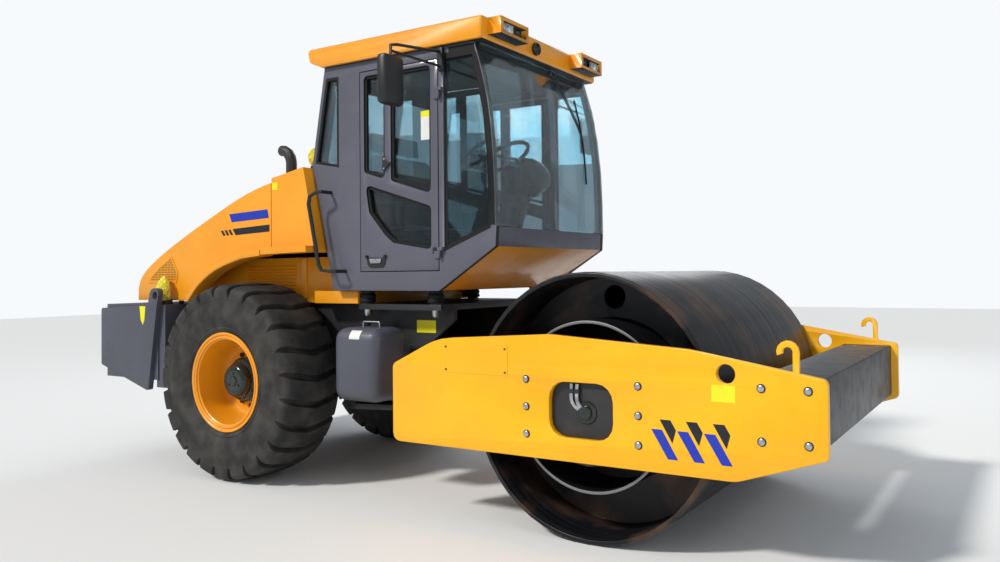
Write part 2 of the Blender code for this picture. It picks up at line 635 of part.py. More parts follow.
def build_counterweight():
    """The block across the back, its side plates with lifting ears, and the hood's hinge posts."""
    inner = COUNTERWEIGHT_HALF - COUNTERWEIGHT_PLATE
    front = FRAME_REAR_X - GAP
    block = box("counterweight", (REAR_X + 0.030, -inner - 0.01, 0.680), (front, inner + 0.01, WEIGHT_TOP), DARK)
    nose = box("counterweight_nose", (front - 0.03, FRAME_HALF + GAP, 0.620), (front + 0.080, inner, WEIGHT_TOP),
               DARK)
    other = box("counterweight_nose_right", (front - 0.03, -inner, 0.620),
                (front + 0.080, -FRAME_HALF - GAP, WEIGHT_TOP), DARK)
    join(block, nose, other)
    ear_x = FRAME_REAR_X + 0.015
    outline = rounded([(REAR_X, 0.781), (FRAME_REAR_X - 0.083, 0.592, 0.02), (FRAME_REAR_X + 0.035, WEIGHT_TOP),
                       (ear_x + 0.055, WEIGHT_TOP + 0.135, 0.06), (ear_x - 0.065, WEIGHT_TOP + 0.135, 0.06),
                       (ear_x - 0.100, WEIGHT_TOP, 0.03), (REAR_X, WEIGHT_TOP - 0.034, 0.02)], 0.02, 3)
    for side, sign in SIDES:
        wall = plate(f"{side}_weight_plate", outline, (sign * inner, sign * COUNTERWEIGHT_HALF), DARK)
        join(block, wall)
        cut(block, rod(f"{side}_ear_hole", (ear_x - 0.005, sign * inner, WEIGHT_TOP + 0.075), (0, 1, 0), 0.032, 0.2,
                       DARK, sides=20))
        x, z = HOOD_HINGE
        join(block, box(f"{side}_hinge_post", (x - 0.010, sign * 0.45 - 0.020, WEIGHT_TOP - 0.02),
                        (x + 0.010, sign * 0.45 + 0.020, z), DARK))
        join(block, rod(f"{side}_hinge_pin", (x, sign * 0.45, z), (0, 1, 0), 0.012, 0.040, DARK, sides=16))
    return block


def build_tank(side, sign):
    """A side tank with rounded upright edges, hung on the frame plate by its bracket."""
    length, width, height = TANK
    low = Vector((TANK_FRONT_X - length, min(sign * TANK_INNER_Y, sign * (TANK_INNER_Y + width)), TANK_BOTTOM))
    name = "fuel_tank" if sign < 0 else "hydraulic_tank"
    tank = box(name, low, low + Vector((length, width, height)), GREY)
    bevel(tank, TANK_ROUND, 4)
    middle_x = TANK_FRONT_X - length / 2
    near, far = sign * (FRAME_HALF + GAP), sign * (TANK_INNER_Y + 0.05)
    join(tank, box(f"{side}_tank_bracket", (middle_x - 0.12, min(near, far), TANK_BOTTOM + 0.15),
                   (middle_x + 0.12, max(near, far), TANK_BOTTOM + 0.35), GREY))
    return tank


def build_engine():
    """One plain block on four feet."""
    low, high = (-1.850, -0.340, 0.980), (-0.900, 0.340, 1.830)
    engine = box("engine", low, high, DARK)
    for x in (-1.75, -1.00):
        join(engine, box(f"engine_feet_{x}", (x - 0.05, -0.480, DECK_TOP + GAP), (x + 0.05, 0.480, DECK_TOP + 0.045),
                         DARK))
    return engine


def build_engine_bay():
    """The deck under the hood with the upright inner panels that face the tyres."""
    low = FRAME_TOP + GAP
    narrow = ENGINE_BAY_HALF
    deck = box("engine_bay", (FRAME_REAR_X + 0.02, -narrow, low), (DECK_WIDE_X + 0.05, narrow, DECK_TOP), YELLOW)
    join(deck, box("deck_step", (DECK_WIDE_X, -DECK_HALF, low), (DECK_FRONT_X, DECK_HALF, DECK_TOP), YELLOW))
    cut(deck, box("engine_hole", (-1.95, -0.400, 1.0), (-0.85, 0.400, 1.6), YELLOW))
    for side, sign in SIDES:
        join(deck, box(f"{side}_inner_panel", (-2.200, min(sign * narrow, sign * (narrow - 0.02)), low + 0.02),
                       (DECK_WIDE_X + 0.20, max(sign * narrow, sign * (narrow - 0.02)), PANEL_TOP), YELLOW))
    return deck


# ---------------------------------------------------------------- hood and cowl
def smooth(line, steps):
    """A curve through the points of a line, with some steps between one and the next."""
    points = [Vector(point) for point in line]
    points = [2 * points[0] - points[1]] + points + [2 * points[-1] - points[-2]]
    path = []
    for before, here, there, after in zip(points, points[1:], points[2:], points[3:]):
        for step in range(steps):
            t = step / steps
            path.append(tuple(here + ((there - before) * t
                                      + (2 * before - 5 * here + 4 * there - after) * t ** 2
                                      + (3 * here - before - 3 * there + after) * t ** 3) / 2))
    return path + [tuple(points[-2])]


HOOD_TOP_LINE = smooth([(-2.774, 1.430), (-2.731, 1.515), (-2.632, 1.600), (-2.398, 1.732), (-2.004, 1.911),
                        (-1.512, 2.114), (-1.257, 2.194), (HOOD_FRONT_X, 2.226)], 3)
ARCH_LINE = smooth([(HOOD_FRONT_X, 1.676), (-1.329, 1.652), (-1.621, 1.571), (-1.828, 1.455),
                    (-1.966, 1.325)], 3)


def offset(line, depth):
    """A line moved by a depth to its right."""
    moved = []
    for i, here in enumerate(line):
        back, ahead = Vector(line[max(i - 1, 0)]), Vector(line[min(i + 1, len(line) - 1)])
        along = (ahead - back).normalized()
        moved.append((here[0] + along.y * depth, here[1] - along.x * depth))
    return moved


def build_hood():
    """The tilting hood: an outer shape less an inner one, with a flare over each tyre."""
    rear = [(HOOD_TOP_LINE[0][0], ARCH_LINE[-1][1])]
    outer = rear + HOOD_TOP_LINE + ARCH_LINE
    hood = plate("hood", outer, (-HOOD_HALF, HOOD_HALF), YELLOW)
    under = offset([(HOOD_TOP_LINE[0][0], 1.2)] + HOOD_TOP_LINE, HOOD_WALL)
    inner = under + [(HOOD_FRONT_X + 0.10, under[-1][1]), (HOOD_FRONT_X + 0.10, 1.2)]
    inside = HOOD_HALF - HOOD_WALL
    cut(hood, plate("hood_inside", inner, (-inside, inside), YELLOW))
    edge = [(HOOD_FRONT_X - 0.001, ARCH_LINE[0][1])] + ARCH_LINE[1:]
    lip = offset(edge, -0.004) + list(reversed(offset(edge, 0.041)))
    x, z = HOOD_HINGE
    for side, sign in SIDES:
        join(hood, plate(f"{side}_flare", lip, (sign * (inside + 0.005), sign * FLARE_HALF), YELLOW))
        cut(hood, box(f"{side}_hinge_notch", (x - 0.06, sign * 0.45 - 0.030, 1.2),
                      (x + 0.03, sign * 0.45 + 0.030, z + 0.030), YELLOW))
        for step in (-1, 1):
            near = sign * 0.45 + step * 0.0405
            knuckle = rod(f"{side}_hood_knuckle_{step}", (x, near, z), (0, 1, 0), 0.020, 0.040, YELLOW, sides=16)
            join(hood, knuckle)
    return hood


def build_cowl():
    """The fixed cowl between hood and cab, with the exhaust's foot on its top."""
    rear = HOOD_FRONT_X + HOOD_SLIT
    foot = cab_rear_x(1.690) - 0.014
    head = cab_rear_x(COWL_TOP[1]) - 0.014
    outline = [(rear, 1.680), (rear, COWL_TOP[0]), (head, COWL_TOP[1]), (foot, 1.690)]
    cowl = plate("engine_cowl", outline, (-COWL_HALF, COWL_HALF), YELLOW)
    wall = HOOD_WALL
    under = [z - wall for z in COWL_TOP]
    inner = [(rear - 0.10, 1.4), (rear - 0.10, under[0]), (rear, under[0]), (head - wall, under[1]),
             (foot - wall, 1.4)]
    inside = COWL_HALF - wall
    cut(cowl, plate("cowl_inside", inner, (-inside, inside), YELLOW))
    for side, sign in SIDES:
        flare = [(rear, 1.680), (rear, 1.735), (foot - 0.008, 1.735), (foot - 0.002, 1.690)]
        join(cowl, plate(f"{side}_cowl_flare", flare, (sign * (inside + 0.005), sign * FLARE_HALF), YELLOW))
        join(cowl, box(f"{side}_cowl_stay", (DECK_WIDE_X, min(sign * 0.50, sign * 0.53), DECK_TOP + GAP),
                       (DECK_WIDE_X + 0.05, max(sign * 0.50, sign * 0.53), 2.26), YELLOW))
    return cowl


def build_exhaust():
    """A pipe that rises from the cowl and curves to the rear."""
    x, y = EXHAUST
    slope = (COWL_TOP[1] - COWL_TOP[0]) / (cab_rear_x(COWL_TOP[1]) - 0.014 - HOOD_FRONT_X - HOOD_SLIT)
    z = COWL_TOP[0] + slope * (x + EXHAUST_R - HOOD_FRONT_X - HOOD_SLIT) + GAP
    bend = [(x, y, z), (x, y, z + 0.110), (x - 0.010, y, z + 0.150), (x - 0.035, y, z + 0.185),
            (x - 0.070, y, z + 0.205), (x - 0.105, y, z + 0.210)]
    return tube("exhaust_pipe", bend, EXHAUST_R, DARK, 3)


# ---------------------------------------------------------------- cab
def cab_rear_x(z):
    """The cab's rear edge at a height."""
    (x0, z0), (x1, z1), (x2, z2) = REAR_EDGE
    if z < z1:
        return x0 + (x1 - x0) * (z - z0) / (z1 - z0)
    return x1 + (x2 - x1) * (z - z1) / (z2 - z1)


def screen_x(z):
    """The windscreen's outer face at a height."""
    up = max(0.0, (z - CAB_SILL_Z) / (CAB_TOP - CAB_SILL_Z))
    return CAB_FRONT_X - SCREEN_RAKE * up ** 2.8


SCREEN_HEIGHTS = [CAB_SILL_Z + (CAB_TOP - CAB_SILL_Z) * i / 5 for i in range(6)]
WINDOW_TOP = DOOR_Z[1]
QUARTER_X = DOOR_X[1] + 0.050       # rear edge of the front quarter glass
REAR_POST = 0.030


def cab_side_outline():
    """The side of the cab, from its rear foot, anticlockwise as seen from the right."""
    inset = GLASS + 2 * GAP
    top = CAB_TOP - GAP
    front = [(screen_x(z) - inset, min(z, top)) for z in SCREEN_HEIGHTS]
    return ([(REAR_EDGE[0][0], CAB_BOTTOM), (DOOR_X[1], CAB_BOTTOM), (CAB_FRONT_X - 0.007, CAB_CHIN_Z),
             (CAB_FRONT_X, CAB_SILL_Z - 0.002)] + front + [(cab_rear_x(top), top), REAR_EDGE[1]])


def front_quarter():
    """The outline of the glass ahead of the door."""
    front = [(screen_x(z) - 0.045, z) for z in SCREEN_HEIGHTS if z < WINDOW_TOP - 0.05]
    return [(QUARTER_X, CAB_CHIN_Z - 0.010)] + front + [(screen_x(WINDOW_TOP) - 0.045, WINDOW_TOP),
                                                          (QUARTER_X, WINDOW_TOP)]


def rear_quarter():
    """The outline of the glass behind the door."""
    front = DOOR_X[0] - 0.210
    low = REAR_EDGE[1][1] - 0.010
    return [(cab_rear_x(low + 0.03) + REAR_POST, low + 0.030), (front, low - 0.015), (front, WINDOW_TOP),
            (cab_rear_x(WINDOW_TOP) + REAR_POST, WINDOW_TOP)]


def shrink(outline, room):
    """An outline moved inwards all round."""
    count = len(outline)
    area = sum(outline[i - 1][0] * outline[i][1] - outline[i][0] * outline[i - 1][1] for i in range(count))
    turn = 1 if area > 0 else -1
    moved = []
    for i, here in enumerate(outline):
        here = Vector(here)
        before = (here - Vector(outline[i - 1])).normalized()
        after = (Vector(outline[(i + 1) % count]) - here).normalized()
        n0, n1 = Vector((-before.y, before.x)) * turn, Vector((-after.y, after.x)) * turn
        corner = (n0 + n1) / (1 + n0.dot(n1))
        moved.append(tuple(here + corner * room))
    return moved


def across(sign, near, far):
    """Two y places on one side."""
    return (sign * near, sign * far)


def build_cab_side(side, sign):
    """One side wall with its door opening and quarter windows, and the two glasses."""
    inner = CAB_HALF - CAB_WALL
    wall = plate(f"{side}_cab_side", cab_side_outline(), across(sign, inner, CAB_HALF), GREY)
    past = across(sign, inner - 0.05, CAB_HALF + 0.05)
    slit = DOOR_SLIT
    opening = [(DOOR_X[0] - slit, DOOR_Z[0] - slit), (DOOR_X[1] + slit, DOOR_Z[0] - slit),
               (DOOR_X[1] + slit, DOOR_Z[1] + slit), (DOOR_X[0] - slit, DOOR_Z[1] + slit)]
    cut(wall, plate(f"{side}_door_opening", opening, past, GREY))
    x, y = DOOR_PIVOT
    for i, z in enumerate(HINGE_Z):
        low, high = z + HINGE + GAP, z + HINGE + GAP + 0.025
        depth = sorted(across(sign, CAB_HALF - 0.010, y + 0.008))
        join(wall, box(f"{side}_wall_hinge_{i}", (x, depth[0], low), (x + 0.030, depth[1], high), GREY),
             rod(f"{side}_wall_knuckle_{i}", (x, sign * y, (low + high) / 2), (0, 0, 1), 0.012, 0.025, GREY, sides=12))
    glasses = []
    for name, outline in (("front", front_quarter()), ("rear", rear_quarter())):
        cut(wall, plate(f"{side}_{name}_opening", outline, past, GREY))
        middle = CAB_HALF - 0.014
        glasses.append(plate(f"{side}_{name}_quarter_glass", shrink(outline, GAP),
                             across(sign, middle - GLASS, middle), WINDOW_GLASS))
    return [wall] + glasses


def door_windows():
    """The door's three window outlines: rear pane, front pane and the lower one."""
    rear, front = DOOR_X
    top, low = DOOR_Z[1] - 0.030, DOOR_Z[0] + 0.130
    sill_rear, sill_front = DOOR_Z[0] + 0.705, DOOR_Z[0] + 0.520
    split = rear + 0.230

    def sill(x):
        return sill_rear + (sill_front - sill_rear) * (x - rear) / (front - rear)

    upper_rear = [(rear + 0.035, sill(rear)), (split, sill(split)), (split, top), (rear + 0.035, top)]
    upper_front = [(split + 0.055, sill(split + 0.055)), (front - 0.060, sill(front)), (front - 0.060, top),
                   (split + 0.055, top)]
    drop = 0.085
    lower = [(rear + 0.045, sill(rear) - drop), (rear + 0.080, sill(rear) - 0.290), (rear + 0.230, low + 0.120),
             (rear + 0.300, low + 0.065), (front - 0.060, low + 0.010), (front - 0.060, sill(front) - drop)]
    return upper_rear, upper_front, lower


def build_door(side, sign):
    """A door leaf with three windows, its hinge knuckles, and one glass sheet on its inner face."""
    (rear, front), (low, high) = DOOR_X, DOOR_Z
    skin = CAB_HALF - CAB_WALL + GLASS + GAP + 0.002
    leaf = plate(f"{side}_door", [(rear, low), (front, low), (front, high), (rear, high)],
                 across(sign, skin, CAB_HALF), GREY)
    for i, outline in enumerate(door_windows()):
        cut(leaf, plate(f"{side}_door_window_{i}", rounded(outline, 0.03, 2),
                        across(sign, skin - 0.05, CAB_HALF + 0.05), GREY))
    x, y = DOOR_PIVOT
    for i, z in enumerate(HINGE_Z):
        root = sorted(across(sign, CAB_HALF - 0.010, CAB_HALF + 0.012))
        arm = sorted(across(sign, CAB_HALF + 0.003, CAB_HALF + 0.012))
        join(leaf, box(f"{side}_hinge_root_{i}", (front - 0.030, root[0], z), (front - 0.002, root[1], z + HINGE), GREY),
             box(f"{side}_hinge_arm_{i}", (front - 0.020, arm[0], z), (x, arm[1], z + HINGE), GREY),
             rod(f"{side}_hinge_knuckle_{i}", (x, sign * y, z + HINGE / 2), (0, 0, 1), 0.012, HINGE, GREY, sides=12))
    pane = [(rear + 0.012, low + 0.090), (front - 0.012, low + 0.090), (front - 0.012, high - 0.010),
            (rear + 0.012, high - 0.010)]
    glass = plate(f"{side}_door_glass", pane, across(sign, skin - GAP - GLASS, skin - GAP), WINDOW_GLASS)
    return leaf, glass


def build_cab_body():
    """Floor, rear wall with its window, front chin panel, windscreen and roof."""
    half = CAB_HALF - CAB_WALL - GAP
    floor_rear = REAR_EDGE[0][0] + 0.050
    floor = box("cab_floor", (floor_rear, -half, CAB_BOTTOM), (DOOR_X[1] - 0.010, half, CAB_BOTTOM + 0.040), GREY)
    heights = (CAB_BOTTOM, REAR_EDGE[1][1], CAB_TOP - GAP)
    back = [(cab_rear_x(z), z) for z in heights]
    rear_wall = plate("cab_rear_wall", back + [(x + CAB_WALL, z) for x, z in reversed(back)], (-half, half), GREY)
    low, high, wide = REAR_EDGE[1][1] + 0.030, WINDOW_TOP - 0.030, 0.640
    cut(rear_wall, box("rear_window_opening", (-1.0, -wide, low), (-0.3, wide, high), GREY))
    pane = [(cab_rear_x(z) + 0.014, z) for z in (low + GAP, high - GAP)]
    rear_glass = plate("rear_window", pane + [(x + GLASS, z) for x, z in reversed(pane)],
                       (-wide + GAP, wide - GAP), WINDOW_GLASS)
    chin = [(DOOR_X[1] - 0.0097, CAB_BOTTOM), (CAB_FRONT_X - 0.007, CAB_CHIN_Z), (CAB_FRONT_X, CAB_SILL_Z - 0.002),
            (CAB_FRONT_X - CAB_WALL, CAB_SILL_Z - 0.002), (CAB_FRONT_X - 0.048, CAB_CHIN_Z + 0.024),
            (DOOR_X[1] - 0.0097, CAB_BOTTOM + 0.050)]
    front_panel = plate("cab_front_panel", chin, (-half, half), GREY)
    outer = [(screen_x(z), min(z, CAB_TOP - GAP)) for z in SCREEN_HEIGHTS]
    screen = plate("windscreen", outer + [(x - GLASS, z) for x, z in reversed(outer)], (-CAB_HALF, CAB_HALF),
                   WINDOW_GLASS)
    return [floor, rear_wall, rear_glass, front_panel, screen, build_roof()]


def build_roof():
    """The roof moulding with a lamp pod at each front corner."""
    rear, front = REAR_EDGE[2][0], screen_x(CAB_TOP)
    outline = [(rear, CAB_TOP), (front + 0.075, CAB_TOP), (front + 0.085, ROOF_TOP), (rear - 0.120, ROOF_TOP),
               (rear - 0.140, ROOF_TOP - 0.030), (rear - 0.120, CAB_TOP + 0.050)]
    roof = plate("cab_roof", outline, (-ROOF_HALF, ROOF_HALF), YELLOW)
    bevel(roof, 0.025, 2, 40)
    for side, sign in SIDES:
        pod = box(f"{side}_lamp_pod", (front - 0.02, min(sign * 0.38, sign * 0.72), CAB_TOP + 0.035),
                  (front + 0.180, max(sign * 0.38, sign * 0.72), ROOF_TOP - 0.004), YELLOW)
        hollow = box(f"{side}_lamp_recess", (front + 0.110, min(sign * 0.41, sign * 0.69), CAB_TOP + 0.055),
                     (front + 0.300, max(sign * 0.41, sign * 0.69), ROOF_TOP - 0.030), YELLOW)
        join(roof, pod)
        cut(roof, hollow)
    return roof


def build_controls():
    """Seat, steering console and steering wheel."""
    floor = CAB_BOTTOM + 0.040 + GAP
    x = SEAT_X
    seat = box("seat", (x, -0.250, 1.760), (x + 0.520, 0.250, 1.880), CUSHION)
    join(seat, box("seat_stand", (x + 0.120, -0.200, floor), (x + 0.420, 0.200, 1.78), CUSHION))
    join(seat, plate("seat_back", [(x, 1.80), (x + 0.13, 1.80), (x + 0.03, 2.62), (x - 0.08, 2.62)],
                     (-0.240, 0.240), CUSHION))
    cx, _, cz = WHEEL_CENTRE
    pod = bmesh.new()
    bmesh.ops.create_uvsphere(pod, u_segments=16, v_segments=8, radius=1.0)
    bmesh.ops.scale(pod, vec=(0.165, 0.235, 0.150), verts=pod.verts)
    console = put_bmesh("steering_console", pod, PLASTIC, Matrix.Translation((cx + 0.180, 0, cz - 0.170)))
    stem = [(cx - 0.200, floor), (cx - 0.080, floor), (cx + 0.200, cz - 0.220), (cx + 0.080, cz - 0.220)]
    join(console, plate("console_column", stem, (-0.100, 0.100), PLASTIC))
    tilt = Vector((-0.50, 0, 0.87)).normalized()
    bpy.ops.mesh.primitive_torus_add(major_segments=24, minor_segments=6, major_radius=0.190, minor_radius=0.016)
    ring = bpy.context.object
    rim = ring.data
    bpy.data.objects.remove(ring)
    wheel = put("steering_wheel", rim, PLASTIC, Matrix.Translation(WHEEL_CENTRE) @ aim(tilt))
    join(wheel, box("wheel_spoke", (cx - 0.012, -0.185, cz - 0.012), (cx + 0.012, 0.185, cz + 0.008), PLASTIC))
    centre = Vector(WHEEL_CENTRE)
    join(wheel, rod("wheel_boss", centre - tilt * 0.012, tilt, 0.034, 0.044, PLASTIC, sides=16))
    join(console, rod("wheel_shaft", centre - tilt * (0.034 + GAP + 0.045), tilt, 0.022, 0.090, PLASTIC, sides=16))
    return [seat, console, wheel]


def build_mirror(side, sign):
    """A mirror's head on its double arm and wall bracket."""
    x, y, z = MIRROR
    wall = CAB_HALF + GAP
    post_x = DOOR_X[1] + 0.045
    head = box(f"{side}_mirror", (x - 0.040, sign * y - 0.092, z - 0.155), (x + 0.035, sign * y + 0.092, z + 0.155),
               PLASTIC)
    bevel(head, 0.025, 2)
    top = [(post_x, sign * (wall + 0.01), z + 0.295), (x, sign * (y - 0.06), z + 0.235), (x, sign * (y - 0.002), z + 0.22),
           (x, sign * y, z + 0.12)]
    low = [(post_x, sign * (wall + 0.01), z + 0.195), (x, sign * (y - 0.002), z + 0.185)]
    join(head, tube(f"{side}_mirror_bar", top, 0.010, PLASTIC), tube(f"{side}_mirror_stay", low, 0.009, PLASTIC))
    join(head, box(f"{side}_mirror_bracket", (post_x - 0.020, min(sign * wall, sign * (wall + 0.03)), z + 0.165),
                   (post_x + 0.020, max(sign * wall, sign * (wall + 0.03)), z + 0.320), PLASTIC))
    return head


def build_grab_handle(side, sign):
    """The tall handle at the cab's rear edge, standing clear of the cowl."""
    wall, out = CAB_HALF + GAP, COWL_HALF + 0.040
    top, foot = (-0.560, 2.125), (-0.420, 1.547)
    points = [(top[0], sign * wall, top[1]), (top[0], sign * (out - 0.02), top[1]), (top[0] - 0.03, sign * out, 2.122),
              (-0.655, sign * out, 2.095), (-0.667, sign * out, 2.040), (-0.570, sign * out, 1.600),
              (-0.540, sign * out, 1.556), (foot[0] - 0.03, sign * out, foot[1]),
              (foot[0], sign * (out - 0.02), foot[1]), (foot[0], sign * wall, foot[1])]
    return tube(f"{side}_grab_handle", points, 0.014, PLASTIC, 1)


# ---------------------------------------------------------------- assembly
def main():
    """Build every piece and hang the moving ones on their joints."""
    build_rear_frame()
    build_counterweight()
    build_rear_axle()
    build_engine()
    build_engine_bay()
    build_cowl()
    build_exhaust()
    build_cab_body()
    build_controls()
    for side, sign in SIDES:
        build_tank(side, sign)
        build_cab_side(side, sign)
        build_mirror(side, sign)
        build_grab_handle(side, sign)
        leaf, glass = build_door(side, sign)
        joint(f"{side}_door_axis", (DOOR_PIVOT[0], sign * DOOR_PIVOT[1], DOOR_Z[0]), [leaf, glass])
        joint(f"{side}_wheel_axis", (AXLE_X, sign * TYRE_Y, AXLE_Z), build_wheel(side, sign))
        barrel, piston_rod = build_cylinder(side, sign)
        place = (PIVOT_X + BARREL_PIN[0], sign * BARREL_PIN[1], CYLINDER_Z)
        joint(f"{side}_cylinder_axis", place, [barrel, piston_rod])
    joint("hood_axis", (HOOD_HINGE[0], 0, HOOD_HINGE[1]), [build_hood()])
    steering = joint("steering_axis", (PIVOT_X, 0, JOINT_Z), [build_centre_joint()])
    oscillation = joint("oscillation_axis", (PIVOT_X, 0, JOINT_Z), build_front_frame(), steering)
    joint("drum_axis", (DRUM_X, 0, DRUM_R), [build_drum()], oscillation)
    for thing in MODEL.objects:
        if thing.type == "MESH":
            thing.data.shade_smooth()
            thing.data.set_sharp_from_angle(angle=math.radians(35))


main()
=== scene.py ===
# %% [markdown]
# # A single-drum road roller
# The machine's solid pieces come ready made, in metres, +X towards the drum and +Z up.  This lesson
# gives them the rounded edges, the rubber, glass and enamel, and the small pieces that the eye
# expects.  Everything is placed from the frame's own boxes, so nothing has to be fitted by eye.

# %% Load the frame
import json
import math
import random

import bpy
from mathutils import Matrix, Vector

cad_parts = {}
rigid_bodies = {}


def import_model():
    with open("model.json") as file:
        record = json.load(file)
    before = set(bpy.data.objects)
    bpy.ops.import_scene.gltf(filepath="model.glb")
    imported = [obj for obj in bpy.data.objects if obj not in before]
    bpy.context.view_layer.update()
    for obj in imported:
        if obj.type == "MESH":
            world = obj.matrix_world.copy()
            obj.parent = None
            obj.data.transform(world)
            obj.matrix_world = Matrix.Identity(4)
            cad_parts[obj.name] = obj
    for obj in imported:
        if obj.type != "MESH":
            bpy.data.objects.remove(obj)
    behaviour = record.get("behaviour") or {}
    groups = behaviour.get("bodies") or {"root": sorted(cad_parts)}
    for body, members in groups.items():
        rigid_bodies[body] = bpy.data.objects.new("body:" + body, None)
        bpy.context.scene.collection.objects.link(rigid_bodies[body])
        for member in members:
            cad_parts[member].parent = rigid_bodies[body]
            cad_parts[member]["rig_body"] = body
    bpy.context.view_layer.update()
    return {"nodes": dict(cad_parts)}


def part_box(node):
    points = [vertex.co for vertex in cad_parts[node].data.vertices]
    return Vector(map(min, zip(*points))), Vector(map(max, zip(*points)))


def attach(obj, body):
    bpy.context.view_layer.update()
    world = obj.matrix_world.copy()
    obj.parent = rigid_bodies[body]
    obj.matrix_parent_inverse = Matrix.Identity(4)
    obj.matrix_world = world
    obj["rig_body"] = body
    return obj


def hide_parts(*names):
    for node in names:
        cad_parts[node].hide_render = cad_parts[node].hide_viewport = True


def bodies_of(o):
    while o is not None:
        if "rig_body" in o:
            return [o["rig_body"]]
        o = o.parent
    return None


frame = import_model()
NODES = frame["nodes"]
SIDES = (("right", -1), ("left", 1))
REAR, FRONT, HOOD = "rear_section", "front_section", "engine_hood"

# %% [markdown]
# ## The camera
# A camera at eye height, about thirty degrees off the machine's side, with the wide lens of a phone.
# The camera is turned by its own axes: it looks along -Z, so the rotation is built from the view's
# direction and a small roll.

# %% Camera
EYE = Vector((3.893, -5.166, 1.517))
LOOK = Vector((-0.5155, 0.8567, 0.0193))
ROLL = -0.011

camera_data = bpy.data.cameras.new("camera")
camera_data.lens = 29.81
camera_data.sensor_width = 36.0
camera_data.shift_x = -0.0421
camera_data.shift_y = -0.0237
camera = bpy.data.objects.new("camera", camera_data)
bpy.context.scene.collection.objects.link(camera)
camera.matrix_world = (Matrix.Translation(EYE) @ LOOK.to_track_quat("-Z", "Y").to_matrix().to_4x4()
                       @ Matrix.Rotation(ROLL, 4, "Z"))
bpy.context.scene.camera = camera

# %% [markdown]
# ## Floor and light
# A pale floor catches the shadow.  The sky is bright and almost white, and one large warm lamp
# stands high over the machine's right shoulder, so that the near side is lit and the nose of the
# plate in front of the axle falls off a little.

# %% Floor, sky and lamps
bpy.ops.mesh.primitive_plane_add(size=60.0, location=(0, 0, -0.001))
floor = bpy.context.object
floor.name = "studio_floor"
floor_paint = bpy.data.materials.new("matt_white_floor")
floor_paint.use_nodes = True
floor_paint.node_tree.nodes["Principled BSDF"].inputs["Base Color"].default_value = (0.86, 0.87, 0.88, 1.0)
floor_paint.node_tree.nodes["Principled BSDF"].inputs["Roughness"].default_value = 0.9
floor.data.materials.append(floor_paint)

world = bpy.data.worlds.new("studio")
world.use_nodes = True
sky = world.node_tree.nodes["Background"]
sky.inputs["Color"].default_value = (0.88, 0.94, 1.0, 1.0)
sky.inputs["Strength"].default_value = 0.42
# The eye sees a white backdrop; only the light that falls on the machine is dimmer.
white = world.node_tree.nodes.new("ShaderNodeBackground")
white.inputs["Color"].default_value = (0.93, 0.95, 0.97, 1.0)
rays = world.node_tree.nodes.new("ShaderNodeLightPath")
choose = world.node_tree.nodes.new("ShaderNodeMixShader")
world.node_tree.links.new(rays.outputs["Is Camera Ray"], choose.inputs[0])
world.node_tree.links.new(sky.outputs[0], choose.inputs[1])
world.node_tree.links.new(white.outputs[0], choose.inputs[2])
world.node_tree.links.new(choose.outputs[0], world.node_tree.nodes["World Output"].inputs["Surface"])
bpy.context.scene.world = world
# Paint is judged by its chart colour, so no film curve is laid over it.
bpy.context.scene.view_settings.view_transform = "Standard"


def lamp(name, place, aim_at, size, power, colour):
    """An area lamp that faces a point."""
    data = bpy.data.lights.new(name, "AREA")
    data.size = size
    data.energy = power
    data.color = colour
    thing = bpy.data.objects.new(name, data)
    bpy.context.scene.collection.objects.link(thing)
    way = Vector(aim_at) - Vector(place)
    thing.matrix_world = Matrix.Translation(place) @ way.to_track_quat("-Z", "Y").to_matrix().to_4x4()
    return thing


sun_data = bpy.data.lights.new("key_light", "SUN")
sun_data.energy = 2.5
sun_data.angle = math.radians(7)
sun_data.color = (1.0, 0.965, 0.90)
sun = bpy.data.objects.new("key_light", sun_data)
sun.matrix_world = Vector((0.40, 0.72, -0.72)).to_track_quat("-Z", "Y").to_matrix().to_4x4()
bpy.context.scene.collection.objects.link(sun)
lamp("front_fill", (9.0, -5.0, 4.0), (1.5, 0, 1.0), 5.0, 90, (0.92, 0.96, 1.0))
lamp("back_fill", (-3.0, 9.0, 6.0), (0, 0, 1.5), 5.0, 250, (0.95, 0.98, 1.0))

# %% [markdown]
# ## Helpers for materials
# A colour is written as the hex value that a paint chart gives, and one function turns it into the
# linear light that the shader wants.  A second small function adds a node, sets it and links it.

# %% Material helpers
def linear(hex_colour):
    """Linear RGBA from an sRGB hex value."""
    channels = [int(hex_colour[i:i + 2], 16) / 255 for i in (1, 3, 5)]
    return tuple(c / 12.92 if c <= 0.04045 else ((c + 0.055) / 1.055) ** 2.4 for c in channels) + (1.0,)


def add(tree, kind, inputs=None, **settings):
    """A node with its settings, and its inputs set or linked."""
    node = tree.nodes.new(kind)
    for name, value in settings.items():
        setattr(node, name, value)
    for name, value in (inputs or {}).items():
        socket = node.inputs[name]
        if isinstance(value, bpy.types.NodeSocket):
            tree.links.new(value, socket)
        else:
            socket.default_value = value
    return node


def start(name):
    """A new material, with its tree, its Principled shader and the Object coordinates."""
    material = bpy.data.materials.new(name)
    material.use_nodes = True
    tree = material.node_tree
    where = add(tree, "ShaderNodeTexCoord").outputs["Object"]
    return material, tree, tree.nodes["Principled BSDF"], where


def patches(tree, where, scale, low, high, detail=4.0):
    """A soft mask of noise: 0 below the low value and 1 above the high one."""
    noise = add(tree, "ShaderNodeTexNoise", {"Vector": where, "Scale": scale, "Detail": detail})
    spread = add(tree, "ShaderNodeMapRange", {"Value": noise.outputs["Fac"], "From Min": low, "From Max": high})
    return spread.outputs["Result"]


